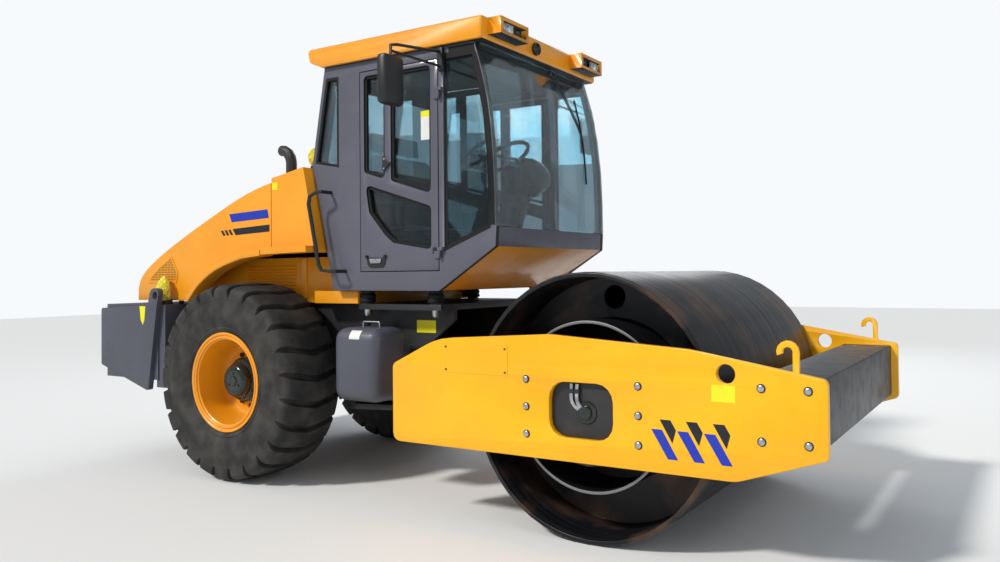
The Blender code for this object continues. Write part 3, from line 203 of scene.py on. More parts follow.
def mixed(tree, mask, first, second):
    """One colour or another, by a mask."""
    node = add(tree, "ShaderNodeMix", data_type="RGBA")
    for socket, value in ((node.inputs[0], mask), (node.inputs[6], first), (node.inputs[7], second)):
        if isinstance(value, bpy.types.NodeSocket):
            tree.links.new(value, socket)
        else:
            socket.default_value = value
    return node.outputs[2]


def grained(tree, shader, where, size, strength, distance):
    """Fine bumps whose grains are a size in metres."""
    noise = add(tree, "ShaderNodeTexNoise", {"Vector": where, "Scale": 1.0 / size, "Detail": 3.0})
    bumped(tree, shader, noise.outputs["Fac"], strength, distance)


def coloured(tree, shader, mask, first, second):
    """A base colour that goes from one hex value to another by a mask."""
    tree.links.new(mixed(tree, mask, linear(first), linear(second)), shader.inputs["Base Color"])


def roughened(tree, shader, mask, low, high):
    """A roughness that goes from one value to another by a mask."""
    spread = add(tree, "ShaderNodeMapRange", {"Value": mask, "To Min": low, "To Max": high})
    tree.links.new(spread.outputs["Result"], shader.inputs["Roughness"])


def bumped(tree, shader, height, strength, distance):
    """Bumps from a height."""
    bump = add(tree, "ShaderNodeBump", {"Height": height, "Strength": strength, "Distance": distance})
    tree.links.new(bump.outputs["Normal"], shader.inputs["Normal"])


def near_ground(tree, where, low, high):
    """A mask that is 1 at a low height and 0 at a high one."""
    place = add(tree, "ShaderNodeSeparateXYZ", {"Vector": where})
    fade = add(tree, "ShaderNodeMapRange", {"Value": place.outputs["Z"], "From Min": high, "From Max": low})
    return fade.outputs["Result"]


# %% [markdown]
# ## Enamel
# The plates, hood and cab are steel sheet sprayed with two-pack enamel.  It is glossy under a clear
# skin, so a coat layer sits over a colour that varies by a few per cent.  The real skin has waves of
# about 3 mm, called orange peel; they are drawn at 8 mm so that they show.  Road dust dulls whatever
# is low on the machine.

# %% Enamel finishes
def enamel(name, colour, shade, dust, dust_height, roughness, coat):
    """Sprayed enamel with slight cloudiness and dust towards the ground."""
    material, tree, shader, where = start(name)
    body = mixed(tree, patches(tree, where, 2.2, 0.35, 0.75), linear(colour), linear(shade))
    low = near_ground(tree, where, 0.15, dust_height)
    broken = patches(tree, where, 9.0, 0.42, 0.72)
    amount = add(tree, "ShaderNodeMath", {0: low, 1: broken}, operation="MULTIPLY")
    tree.links.new(mixed(tree, amount.outputs[0], body, linear(dust)), shader.inputs["Base Color"])
    roughened(tree, shader, broken, roughness, roughness + 0.14)
    shader.inputs["Coat Weight"].default_value = coat
    shader.inputs["Coat Roughness"].default_value = 0.08
    grained(tree, shader, where, 0.008, 0.05, 0.001)
    return material


# Highway yellow, warm and glossy; the front plates are one step more lemon than the hood.
PLATE_YELLOW = enamel("lemon_yellow_enamel", "#FFBC00", "#F8B000", "#B98A3A", 0.50, 0.34, 0.15)
HOOD_YELLOW = enamel("golden_yellow_enamel", "#F8A51A", "#F09A10", "#B98A3A", 0.55, 0.34, 0.25)
# Blue-grey cab paint, satin.
CAB_GREY = enamel("blue_grey_enamel", "#5C5D6B", "#545562", "#8A8378", 0.70, 0.36, 0.20)
# Chassis paint, nearly black, with the most dust.
CHASSIS_DARK = enamel("chassis_black_enamel", "#2B2C30", "#232428", "#5A5044", 0.90, 0.45, 0.05)
WEIGHT_GREY = enamel("charcoal_enamel", "#50525F", "#474955", "#6B655C", 0.80, 0.42, 0.10)

# %% [markdown]
# ## The drum's rolled steel
# The shell is 28 mm boiler plate, rolled, welded and painted black.  Work polishes it in bands round
# its girth, so the scratches must follow the rolling direction: a noise that reads only the width
# gives rings.  Patchy clay dust is painted brown on the upper part only: painted light on the drum's top.

# %% Rolled steel
def rolled_steel():
    material, tree, shader, where = start("rolled_steel_shell")
    squash = add(tree, "ShaderNodeMapping", {"Vector": where, "Scale": (0.02, 1.0, 0.02)})
    rings = patches(tree, squash.outputs["Vector"], 55.0, 0.38, 0.70, 2.0)
    worn = mixed(tree, rings, linear("#131417"), linear("#24252A"))
    film = patches(tree, where, 2.4, 0.50, 0.80)
    # The brown shows only on the top: painted light where the lamp falls, over patchy clay dust.
    height = near_ground(tree, where, 1.56, 1.28)
    high = add(tree, "ShaderNodeMath", {0: 1.0, 1: height}, operation="SUBTRACT")
    lit_top_clay = add(tree, "ShaderNodeMath", {0: film, 1: high.outputs[0]}, operation="MULTIPLY")
    tree.links.new(mixed(tree, lit_top_clay.outputs[0], worn, linear("#6E5140")), shader.inputs["Base Color"])
    roughened(tree, shader, rings, 0.34, 0.52)
    shader.inputs["Metallic"].default_value = 0.35
    grained(tree, shader, squash.outputs["Vector"], 0.006, 0.12, 0.0015)
    return material


DRUM_STEEL = rolled_steel()

# %% [markdown]
# ## Rubber
# Tyre rubber is black filled with soot, never pure black: about 4 % grey, rough, with a fine moulded
# skin.  Grey-brown dust sits on the sidewall and in the grooves.

# %% Rubber
def rubber(name, colour, dust, amount, grain):
    """Moulded rubber with dust lying on it."""
    material, tree, shader, where = start(name)
    cloud = patches(tree, where, 7.0, 0.40, 0.75)
    share = add(tree, "ShaderNodeMath", {0: cloud, 1: amount}, operation="MULTIPLY")
    coloured(tree, shader, share.outputs[0], colour, dust)
    shader.inputs["Roughness"].default_value = 0.72
    shader.inputs["Specular IOR Level"].default_value = 0.35
    grained(tree, shader, where, grain, 0.25, 0.001)
    return material


TYRE_RUBBER = rubber("tyre_rubber_moulded", "#272728", "#5B5751", 0.55, 0.006)
HOSE_RUBBER = rubber("hose_rubber_extruded", "#1A1A1B", "#3F3D3A", 0.30, 0.005)
SEAL_RUBBER = rubber("seal_rubber_extruded", "#101112", "#2A2A2B", 0.20, 0.004)

# %% [markdown]
# ## Bare metals and moulded plastic
# Zinc-plated screws are bright and slightly blue.  The cylinder rods are ground and hard-chromed.
# The mirror shells and the dashboard are grained black plastic: the real grain is about 1 mm and is
# drawn at 4 mm.

# %% Metals and plastics
def metal(name, colour, roughness, grain):
    """A bare metal with a slightly uneven shine."""
    material, tree, shader, where = start(name)
    cloud = patches(tree, where, 30.0, 0.35, 0.75)
    coloured(tree, shader, cloud, colour, "#8E9094")
    shader.inputs["Metallic"].default_value = 1.0
    roughened(tree, shader, cloud, roughness, roughness + 0.15)
    grained(tree, shader, where, grain, 0.06, 0.0005)
    return material


def plastic(name, colour, lighter, roughness, grain):
    """Injection-moulded plastic with a leather-like grain."""
    material, tree, shader, where = start(name)
    cloud = patches(tree, where, 5.0, 0.40, 0.75)
    coloured(tree, shader, cloud, colour, lighter)
    shader.inputs["Roughness"].default_value = roughness
    shader.inputs["IOR"].default_value = 1.53
    grained(tree, shader, where, grain, 0.30, 0.0006)
    return material


ZINC = metal("zinc_plated_steel", "#CFD3D8", 0.30, 0.003)
WORN_STEEL = metal("worn_mild_steel", "#8B8D90", 0.42, 0.004)
CHROME = metal("hard_chromed_steel", "#E6E8EA", 0.08, 0.002)
BLACK_PLASTIC = plastic("grained_black_plastic", "#1A1B1D", "#222326", 0.42, 0.004)
GLOSSY_PLASTIC = plastic("glossy_dark_plastic", "#1C2422", "#24302D", 0.16, 0.010)
PIPE_STEEL = plastic("heat_blackened_steel", "#26282E", "#3A3430", 0.50, 0.008)

# %% [markdown]
# ## Glass
# Cab windows are 6 mm toughened float glass with a green-blue tint.  Full transmission alone would
# keep the lamps out of the cab, because light bent by glass is hard for the renderer to follow, so a
# part of the pane is made clear by alpha.  The lamps have a clear lens.

# %% Glass
def glass(name, colour, alpha, roughness):
    """Float glass with a tint and a faint film of dust."""
    material, tree, shader, where = start(name)
    dusty = patches(tree, where, 3.0, 0.45, 0.80)
    coloured(tree, shader, dusty, colour, "#C9D8DA")
    roughened(tree, shader, dusty, roughness, roughness + 0.04)
    shader.inputs["Transmission Weight"].default_value = 1.0
    shader.inputs["IOR"].default_value = 1.5
    shader.inputs["Alpha"].default_value = alpha
    return material


WINDOW_GLASS = glass("tinted_float_glass", "#8CC9DB", 0.62, 0.01)
LENS_GLASS = glass("clear_lens_glass", "#F4F8FA", 0.55, 0.01)

# %% [markdown]
# ## Printed film
# Stickers are printed vinyl, 0.1 mm thick with a satin face.  They are kept blank: only plain blocks
# of colour, with no lettering.

# %% Printed film
def film(name, colour, shade, roughness=0.38):
    """Printed vinyl, slightly uneven in the print."""
    material, tree, shader, where = start(name)
    cloud = patches(tree, where, 12.0, 0.35, 0.75)
    coloured(tree, shader, cloud, colour, shade)
    shader.inputs["Roughness"].default_value = roughness
    grained(tree, shader, where, 0.004, 0.04, 0.0003)
    return material


BLUE_FILM = film("blue_vinyl_film", "#1430B4", "#1A38AE")
NAVY_FILM = film("navy_vinyl_film", "#141826", "#10131E")
YELLOW_FILM = film("yellow_vinyl_film", "#F2EC1E", "#E5DE1A")
WHITE_FILM = film("white_paper_film", "#E9EAE6", "#DBDDDA", 0.60)
RED_FILM = film("red_lens_plastic", "#B01E17", "#8F150F", 0.20)
AMBER_FILM = film("amber_vinyl_film", "#E8871A", "#D9780F")
print("materials:", len(bpy.data.materials))

# %% [markdown]
# ## Rounding a ready-made piece
# Flame-cut and folded steel never has a knife edge.  A copy of a piece is welded, its flat faces are
# joined, and a narrow Bevel gives the edges their highlight.  The frame's own node is then hidden and
# the copy stands for it.

# %% Working on one piece at a time
def only(thing):
    """Selects one object and makes it the active one."""
    bpy.ops.object.select_all(action="DESELECT")
    thing.select_set(True)
    bpy.context.view_layer.objects.active = thing
    return thing


def newest(name):
    """The object that an operator has just added, with a name."""
    thing = bpy.context.object
    thing.name = thing.data.name = name
    return thing


def apply_place():
    """Puts the active object's place, turn and size into its mesh."""
    bpy.ops.object.transform_apply(location=True, rotation=True, scale=True)


def edit_all():
    """Edit mode with everything selected."""
    bpy.ops.object.mode_set(mode="EDIT")
    bpy.ops.mesh.select_all(action="SELECT")


def clear_selection(thing):
    """Nothing of a mesh is selected; called in object mode."""
    for part in list(thing.data.vertices) + list(thing.data.edges) + list(thing.data.polygons):
        part.select = False


def body_of(node):
    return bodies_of(NODES[node])[0]


def paint(thing, material):
    """Gives a whole object one material."""
    thing.data.materials.clear()
    thing.data.materials.append(material)
    return thing


def soften(thing, angle=35):
    """Smooth shading over edges flatter than an angle."""
    only(thing)
    bpy.ops.object.shade_smooth_by_angle(angle=math.radians(angle))
    return thing


def round_edges(thing, width, segments=2, limit=35):
    """A Bevel on the sharp edges, applied, with the flat faces kept flat."""
    only(thing)
    bpy.ops.object.shade_smooth()
    edge = thing.modifiers.new("rounded_edges", "BEVEL")
    edge.width = width
    edge.segments = segments
    edge.limit_method = "ANGLE"
    edge.angle_limit = math.radians(limit)
    edge.harden_normals = True
    bpy.ops.object.modifier_apply(modifier=edge.name)
    return thing


def roll_edges(thing, test, width, segments):
    """A wide bevel on the edges whose two ends pass a test."""
    only(thing)
    mesh = thing.data
    clear_selection(thing)
    chosen = 0
    for edge in mesh.edges:
        if all(test(mesh.vertices[i].co) for i in edge.vertices):
            edge.select = True
            for i in edge.vertices:
                mesh.vertices[i].select = True
            chosen += 1
    bpy.ops.object.mode_set(mode="EDIT")
    bpy.ops.mesh.select_mode(type="EDGE")
    bpy.ops.mesh.bevel(offset=width, segments=segments, affect="EDGES", clamp_overlap=True)
    bpy.ops.mesh.select_mode(type="VERT")
    bpy.ops.object.mode_set(mode="OBJECT")
    print(thing.name, "rolled edges:", chosen)


def welded_copy(node, name):
    """A copy of a node's mesh without doubles, its flat faces joined."""
    thing = bpy.data.objects.new(name, NODES[node].data.copy())
    bpy.context.scene.collection.objects.link(thing)
    only(thing)
    edit_all()
    bpy.ops.mesh.remove_doubles(threshold=0.00001)
    bpy.ops.mesh.dissolve_limited(angle_limit=math.radians(0.5))
    bpy.ops.object.mode_set(mode="OBJECT")
    return thing


def refined(node, material, width=0.004, segments=2, limit=35, rolled=None):
    """A welded and rounded copy that stands for a node; rolled is (test, width, segments)."""
    thing = welded_copy(node, node + "_finished")
    paint(thing, material)
    if rolled:
        roll_edges(thing, *rolled)
    if width:
        round_edges(thing, width, segments, limit)
    else:
        soften(thing)
    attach(thing, body_of(node))
    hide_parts(node)
    return thing


def recoloured(node, material, angle=35):
    """A node that keeps its shape and gets a finish."""
    return soften(paint(NODES[node], material), angle)


# %% Front frame
for side, sign in SIDES:
    refined(f"{side}_front_plate", PLATE_YELLOW, 0.0035)
    refined(f"{side}_drum_support", CHASSIS_DARK, 0.004)
refined("rear_cross_member", PLATE_YELLOW, 0.006)
refined("front_beam", CHASSIS_DARK, 0.008, 3)
refined("scraper", CHASSIS_DARK, 0.003)
refined("drum", DRUM_STEEL, 0.004, 2, 40)
refined("centre_joint", CHASSIS_DARK, 0.004)

# %% Rear frame, weight, tanks and engine
refined("rear_frame", CHASSIS_DARK, 0.003)
refined("rear_axle", CHASSIS_DARK, 0)
refined("counterweight", WEIGHT_GREY, 0.010, 3)
refined("fuel_tank", WEIGHT_GREY, 0)
refined("hydraulic_tank", WEIGHT_GREY, 0)
refined("engine", CHASSIS_DARK, 0.006)
refined("engine_bay", HOOD_YELLOW, 0.004)
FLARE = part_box("hood")[1].y
refined("hood", HOOD_YELLOW, 0.004, rolled=(lambda v: abs(v.y) > FLARE - 0.001 and v.x < -1.12, 0.022, 4))
refined("engine_cowl", HOOD_YELLOW, 0.006, 3)
refined("exhaust_pipe", PIPE_STEEL, 0)
for side, sign in SIDES:
    recoloured(f"{side}_cylinder_barrel", CHASSIS_DARK)
    recoloured(f"{side}_cylinder_rod", CHROME)

# %% Cab shell
refined("cab_floor", CHASSIS_DARK, 0.004)
refined("cab_front_panel", CAB_GREY, 0.006)
refined("cab_rear_wall", CAB_GREY, 0.006)
refined("cab_roof", HOOD_YELLOW, 0.006, rolled=(lambda v: 0.79 < v.x < 0.84 and abs(v.y) > 0.77, 0.09, 6))
for side, sign in SIDES:
    refined(f"{side}_cab_side", CAB_GREY, 0.005)
    refined(f"{side}_door", CAB_GREY, 0.004)
    recoloured(f"{side}_front_quarter_glass", WINDOW_GLASS)
    recoloured(f"{side}_rear_quarter_glass", WINDOW_GLASS)
    recoloured(f"{side}_door_glass", WINDOW_GLASS)
    refined(f"{side}_mirror", BLACK_PLASTIC, 0.010, 3)
    recoloured(f"{side}_grab_handle", BLACK_PLASTIC)
recoloured("windscreen", WINDOW_GLASS)
recoloured("rear_window", WINDOW_GLASS)
refined("steering_console", GLOSSY_PLASTIC, 0.004)
recoloured("steering_wheel", BLACK_PLASTIC)
recoloured("seat", BLACK_PLASTIC)

# %% [markdown]
# ## Turned pieces
# Tyre, rim and hub are all bodies of revolution.  Their outline is drawn as half a section, one
# extruded point after another, and Spin turns it about the axle.  The numbers are a radius and a
# distance from the tyre's middle plane, outwards.

# %% A lathe
def halfway(node, axis):
    """The middle of a node's box along one axis."""
    low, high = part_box(node)
    return (low[axis] + high[axis]) / 2


AXLE = Vector((halfway("right_tyre", 0), 0.0, halfway("right_tyre", 2)))
TYRE_MIDDLE = halfway("left_tyre", 1)
print("axle at", [round(v, 4) for v in AXLE], "tyre middle", round(TYRE_MIDDLE, 4))


def outline(name, points):
    """An object whose mesh is a line of points, extruded one after another, left in edit mode."""
    bpy.ops.mesh.primitive_plane_add(size=0.01, location=points[0])
    thing = newest(name)
    edit_all()
    bpy.ops.mesh.merge(type="CENTER")
    for here, there in zip(points, points[1:]):
        move = Vector(there) - Vector(here)
        bpy.ops.mesh.extrude_vertices_move(TRANSFORM_OT_translate={"value": move})
    return thing


def weld_and_face_out(threshold=0.00005):
    """Merges doubles and turns all faces outwards; called in edit mode."""
    bpy.ops.mesh.select_all(action="SELECT")
    bpy.ops.mesh.remove_doubles(threshold=threshold)
    bpy.ops.mesh.normals_make_consistent(inside=False)


def settle(thing, material, body, angle=35):
    """Back to object mode with the place in the mesh, a finish, shading and a body."""
    bpy.ops.object.mode_set(mode="OBJECT")
    only(thing)
    apply_place()
    paint(thing, material)
    soften(thing, angle)
    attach(thing, body)
    return thing


def turn(steps, centre, axis):
    """Spins the whole outline once round an axis; called in edit mode."""
    bpy.ops.mesh.select_all(action="SELECT")
    bpy.ops.mesh.spin(steps=steps, angle=math.tau, center=centre, axis=axis)
    weld_and_face_out()


def lathe(name, section, centre, outward, steps):
    """A section of (radius, distance) points turned about the Y axis through a centre."""
    points = [(centre[0], centre[1] + outward * far, centre[2] + radius) for radius, far in section]
    thing = outline(name, points)
    turn(steps, centre, (0, 1, 0))
    return thing


# %% [markdown]
# ## Tyres
# The carcass is a wide, low-pressure earthmover tyre.  Its flank bulges past the rim and carries two
# moulded rings.  The tread is not cut into the carcass: it is one bar, made once and spun round as
# copies, the way the mould has one pitch repeated.

# %% Carcass
CARCASS = [(0.3350, 0.060), (0.3350, 0.188), (0.352, 0.2085), (0.374, 0.219), (0.388, 0.226), (0.394, 0.232),
           (0.404, 0.2345), (0.410, 0.231), (0.440, 0.2465), (0.490, 0.2570), (0.540, 0.2595), (0.590, 0.2565),
           (0.612, 0.2530), (0.617, 0.2560), (0.628, 0.2545), (0.632, 0.2490), (0.660, 0.2380), (0.678, 0.2200),
           (0.687, 0.185), (0.693, 0.110), (0.695, 0.0)]


def carcass(side, sign):
    section = CARCASS + [(r, -far) for r, far in reversed(CARCASS[:-1])] + [CARCASS[0]]
    thing = lathe(f"{side}_tyre_carcass", section, (AXLE.x, sign * TYRE_MIDDLE, AXLE.z), sign, 96)
    settle(thing, TYRE_RUBBER, f"{side}_wheel", 40)
    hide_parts(f"{side}_tyre")
    return thing


# %% [markdown]
# ## The tread bar
# Each bar crosses the whole tread as a shallow V, and its ends turn down over the shoulders.  A grid
# of three columns is set on the crown, every row is moved to its place on the V and on the crown's
# curve, and the sheet is extruded down into the carcass.  Twenty-four bars go round, with grooves a
# quarter of the pitch.

# %% Tread
BARS = 24
BAR_ROWS = [(-0.2585, 0.668), (-0.252, 0.694), (-0.225, 0.715), (-0.150, 0.729), (-0.070, 0.734), (0.0, 0.735),
            (0.070, 0.734), (0.150, 0.729), (0.225, 0.715), (0.252, 0.694), (0.2585, 0.668)]
BAR_HALF = 0.069             # half the bar's length round the tyre
V_DEPTH = 0.052              # how far the V's point runs ahead of the bar's ends


def tread(side, sign):
    middle = Vector((AXLE.x, sign * TYRE_MIDDLE, AXLE.z))
    bpy.ops.mesh.primitive_grid_add(x_subdivisions=2, y_subdivisions=len(BAR_ROWS) - 1, size=2.0, location=middle)
    thing = newest(f"{side}_tyre_tread")
    bpy.ops.object.mode_set(mode="EDIT")
    shape = thing.data
    step = 2.0 / (len(BAR_ROWS) - 1)
    for row, (across, height) in enumerate(BAR_ROWS):
        for column in (-1, 0, 1):
            bpy.ops.mesh.select_all(action="DESELECT")
            bpy.ops.object.mode_set(mode="OBJECT")
            for vertex in shape.vertices:
                vertex.select = abs(vertex.co.y - (row * step - 1.0)) < 0.01 and abs(vertex.co.x - column) < 0.01 \
                    and abs(vertex.co.z) < 0.0001
            bpy.ops.object.mode_set(mode="EDIT")
            ahead = V_DEPTH * (1.0 - abs(across) / 0.26) + column * BAR_HALF
            drop = height - height * math.cos(ahead / height)
            bpy.ops.transform.translate(value=(ahead - column, across - (row * step - 1.0) + 40.0, height - drop))
    bpy.ops.mesh.select_all(action="SELECT")
    bpy.ops.transform.translate(value=(0, -40.0, 0))
    bpy.ops.mesh.extrude_region_move(TRANSFORM_OT_translate={"value": (0, 0, -0.060)})
    bpy.ops.transform.resize(value=(1.14, 0.985, 1.0), center_override=middle + Vector((0.5 * V_DEPTH, 0, 0)))
    weld_and_face_out()
    bpy.ops.object.mode_set(mode="OBJECT")
    round_edges(thing, 0.006, 2, 40)
    edit_all()
    bpy.ops.mesh.spin(steps=BARS - 1, angle=math.tau * (BARS - 1) / BARS, center=middle, axis=(0, 1, 0), dupli=True)
    settle(thing, TYRE_RUBBER, f"{side}_wheel", 40)
    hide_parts(f"{side}_tyre")
    return thing


for side, sign in SIDES:
    carcass(side, sign)
    bars = tread(side, sign)
    print(bars.name, len(bars.data.polygons), "faces")

# %% [markdown]
# ## Rims and hubs
# The rim is five pieces in one on the real wheel: flange, lock ring, gutter, barrel and disc.  Their
# edges show as rings round the lip, so the section has every step.  The hub is the planetary gear's
# black casing with a ring of screws, and nuts hold the disc.

# %% Rim and hub
RIM = [(0.3340, -0.195), (0.3340, 0.200), (0.3400, 0.2080), (0.3560, 0.2125), (0.3680, 0.2180), (0.3700, 0.2240),
       (0.3670, 0.2285), (0.3600, 0.2300), (0.3530, 0.2275), (0.3480, 0.2215), (0.3450, 0.2165), (0.3410, 0.2165),
       (0.3395, 0.2230), (0.3360, 0.2262), (0.3300, 0.2262), (0.3262, 0.2230), (0.3240, 0.2140), (0.3150, 0.2080),
       (0.3135, 0.1700), (0.3080, 0.0900), (0.3020, 0.0300), (0.2900, -0.0050), (0.2700, -0.0240),
       (0.2400, -0.0300),
       (0.1420, -0.0300), (0.1420, -0.0440), (0.2450, -0.0440), (0.2800, -0.0360), (0.3040, -0.0180),
       (0.3170, -0.0100), (0.3170, -0.195), (0.3340, -0.195)]
HUB_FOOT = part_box("left_wheel_hub")[0].y - TYRE_MIDDLE
HUB_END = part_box("left_wheel_hub")[1].y - TYRE_MIDDLE
HUB = [(0.0, 0.0), (0.034, 0.0), (0.038, 0.004), (0.040, 0.010), (0.080, 0.012), (0.084, 0.008), (0.100, 0.010),
       (0.114, 0.018), (0.124, 0.032), (0.1275, 0.050), (0.1280, 0.072), (0.1500, 0.078), (0.1530, 0.083),
       (0.1540, 0.100), (0.1680, 0.106), (0.1700, 0.112)]
HUB = [(radius, HUB_END - down) for radius, down in HUB]
HUB += [(0.1700, HUB_FOOT), (0.0620, HUB_FOOT), (0.0620, HUB_FOOT + 0.060), (0.0, HUB_FOOT + 0.060)]


def screw_ring(name, sign, count, radius, foot, size, height, sides, material):
    """Screw or nut heads in a ring about the axle, made once and spun round as copies."""
    middle = Vector((AXLE.x, sign * TYRE_MIDDLE, AXLE.z))
    place = middle + Vector((0, sign * (foot + height / 2), radius))
    bpy.ops.mesh.primitive_cylinder_add(vertices=sides, radius=size, depth=height, location=place,
                                        rotation=(-sign * math.pi / 2, 0, 0))
    thing = newest(name)
    apply_place()
    bpy.ops.object.mode_set(mode="EDIT")
    bpy.ops.mesh.select_all(action="DESELECT")
    bpy.ops.object.mode_set(mode="OBJECT")
    for face in thing.data.polygons:
        face.select = face.normal.y * sign > 0.9
    bpy.ops.object.mode_set(mode="EDIT")
    bpy.ops.mesh.inset(thickness=size * 0.18)
    bpy.ops.transform.translate(value=(0, sign * height * 0.18, 0))
    bpy.ops.mesh.inset(thickness=size * 0.30)
    bpy.ops.mesh.extrude_region_move(TRANSFORM_OT_translate={"value": (0, sign * height * 0.35, 0)})
    bpy.ops.mesh.select_all(action="SELECT")
    bpy.ops.mesh.spin(steps=count - 1, angle=math.tau * (count - 1) / count, center=middle, axis=(0, 1, 0),
                      dupli=True)
    bpy.ops.mesh.normals_make_consistent(inside=False)
    return settle(thing, material, "right_wheel" if sign < 0 else "left_wheel", 30)


for side, sign in SIDES:
    middle = (AXLE.x, sign * TYRE_MIDDLE, AXLE.z)
    rim = settle(lathe(f"{side}_rim", RIM, middle, sign, 96), HOOD_YELLOW, f"{side}_wheel", 32)
    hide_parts(f"{side}_wheel_rim")
    hub = settle(lathe(f"{side}_hub", HUB, middle, sign, 64), GLOSSY_PLASTIC, f"{side}_wheel", 32)
    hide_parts(f"{side}_wheel_hub")
    screw_ring(f"{side}_hub_screws", sign, 9, 0.141, HUB_END - 0.080, 0.0075, 0.007, 12, CHASSIS_DARK)
    screw_ring(f"{side}_cap_screws", sign, 3, 0.060, HUB_END - 0.012, 0.011, 0.006, 6, CHASSIS_DARK)
    screw_ring(f"{side}_wheel_nuts", sign, 12, 0.205, -0.0302, 0.019, 0.018, 6, CHASSIS_DARK)

# %% [markdown]
# ## Flat pieces
# Stickers, cover plates and window seals are all flat outlines.  The outline is extruded point by
# point, filled, and pushed out to its thickness.  A seal is the same outline inset once, with the
# middle taken out.  A piece on the left is the right one's twin with y turned round.

# %% Slabs and seals
def slab(name, points, push, material, body, hole=None, round_by=0.0):
    """A filled outline pushed out to a thickness; with a hole, only a band of that width is kept."""
    thing = outline(name, list(points) + [points[0]])
    bpy.ops.mesh.select_all(action="SELECT")
    bpy.ops.mesh.remove_doubles(threshold=0.0001)
    bpy.ops.mesh.edge_face_add()
    if hole:
        bpy.ops.mesh.inset(thickness=hole)
        bpy.ops.mesh.delete(type="FACE")
        bpy.ops.mesh.select_all(action="SELECT")
    bpy.ops.mesh.extrude_region_move(TRANSFORM_OT_translate={"value": push})
    weld_and_face_out()
    settle(thing, material, body, 30)
    if round_by:
        round_edges(thing, round_by)
    return thing


def rect(x0, z0, x1, z1):
    """The four corners of a rectangle."""
    return [(x0, z0), (x1, z0), (x1, z1), (x0, z1)]


def flank(name, sign, y, points, thickness, material, body, **more):
    """A slab on the machine's flank: its points are (x, z), and y is its distance from the middle."""
    return slab(name, [(x, sign * y, z) for x, z in points], (0, sign * thickness, 0), material, body, **more)


def across(name, x, ends, heights, thickness, material, **more):
    """A rectangular slab across the rear section, between two y and two z."""
    corners = rect(*[value for pair in zip(sorted(ends), heights) for value in pair])
    return slab(name, [(x, y, z) for y, z in corners], (thickness, 0, 0), material, REAR, **more)


def lying(name, low, high, z, thickness, material, **more):
    """A rectangular slab that lies on the rear section, from one (x, y) to another."""
    return slab(name, [(x, y, z) for x, y in rect(*low, *high)], (0, 0, thickness), material, REAR, **more)


def joined(name, things):
    """Several pieces made one object."""
    bpy.ops.object.select_all(action="DESELECT")
    for thing in things:
        thing.select_set(True)
    bpy.context.view_layer.objects.active = things[0]
    if len(things) > 1:
        bpy.ops.object.join()
    things[0].name = things[0].data.name = name
    return things[0]


def copies(name, first, moves):
    """One object that holds a piece and its copies, each moved by a vector."""
    things = [first]
    for move in moves:
        twin = bpy.data.objects.new(name, first.data.copy())
        twin.data.transform(Matrix.Translation(move))
        bpy.context.scene.collection.objects.link(twin)
        things.append(twin)
    return joined(name, things)


def button(name, place, outward, radius, height, material, body, sides=20, dome=0.25):
    """A round head: a short cylinder whose face is inset and raised, so that it catches the light."""
    way = Vector(outward).normalized()
    turn = Vector((0, 0, 1)).rotation_difference(way).to_euler()
    bpy.ops.mesh.primitive_cylinder_add(vertices=sides, radius=radius, depth=height,
                                        location=Vector(place) + way * (height / 2), rotation=turn)
    thing = newest(name)
    apply_place()
    for face in thing.data.polygons:
        face.select = face.normal.dot(way) > 0.9
    for part in list(thing.data.vertices) + list(thing.data.edges):
        part.select = False
    for face in thing.data.polygons:
        if face.select:
            for index in face.vertices:
                thing.data.vertices[index].select = True
    bpy.ops.object.mode_set(mode="EDIT")
    bpy.ops.mesh.inset(thickness=radius * 0.22)
    bpy.ops.transform.translate(value=way * height * dome)
    return settle(thing, material, body, 50)


# %% [markdown]
# ## What is on the front plates
# Zinc-plated screws with dark washers hold the drum's mounts and the front beam.  Behind them are a
# bolted cover for the wiring, a decoration of slanted vinyl bars, and a blank label under the lifting
# hole.

# %% Screws, cover and stickers of the plates
PLATE_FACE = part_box("left_front_plate")[1].y
DRUM_AXLE = Vector((halfway("drum", 0), 0, halfway("drum", 2)))
BEAM_SCREWS = [(2.709, 0.941), (2.709, 0.680), (2.935, 0.941), (2.935, 0.680)]
MOUNT_SCREWS = [(DRUM_AXLE.x + dx, DRUM_AXLE.z - 0.006 + dz)
                for dx in (-0.350, 0.350) for dz in (-0.156, 0.0, 0.156)]
BAR_PITCH = 0.1445
BLUE_BAR = [(2.124, 0.694), (2.184, 0.694), (2.272, 0.544), (2.216, 0.544)]
NAVY_WEDGE = [(2.172, 0.747), (2.232, 0.747), (2.262, 0.697), (2.242, 0.628)]
COVER = 0.0025               # thickness of the bolted cover
VINYL = 0.0012               # thickness of a sticker as it is drawn
LAID = PLATE_FACE + 0.0002   # where a sticker lies on the plate


def on_plate(sign, x, z, out=0.0):
    return (x, sign * (PLATE_FACE + out), z)


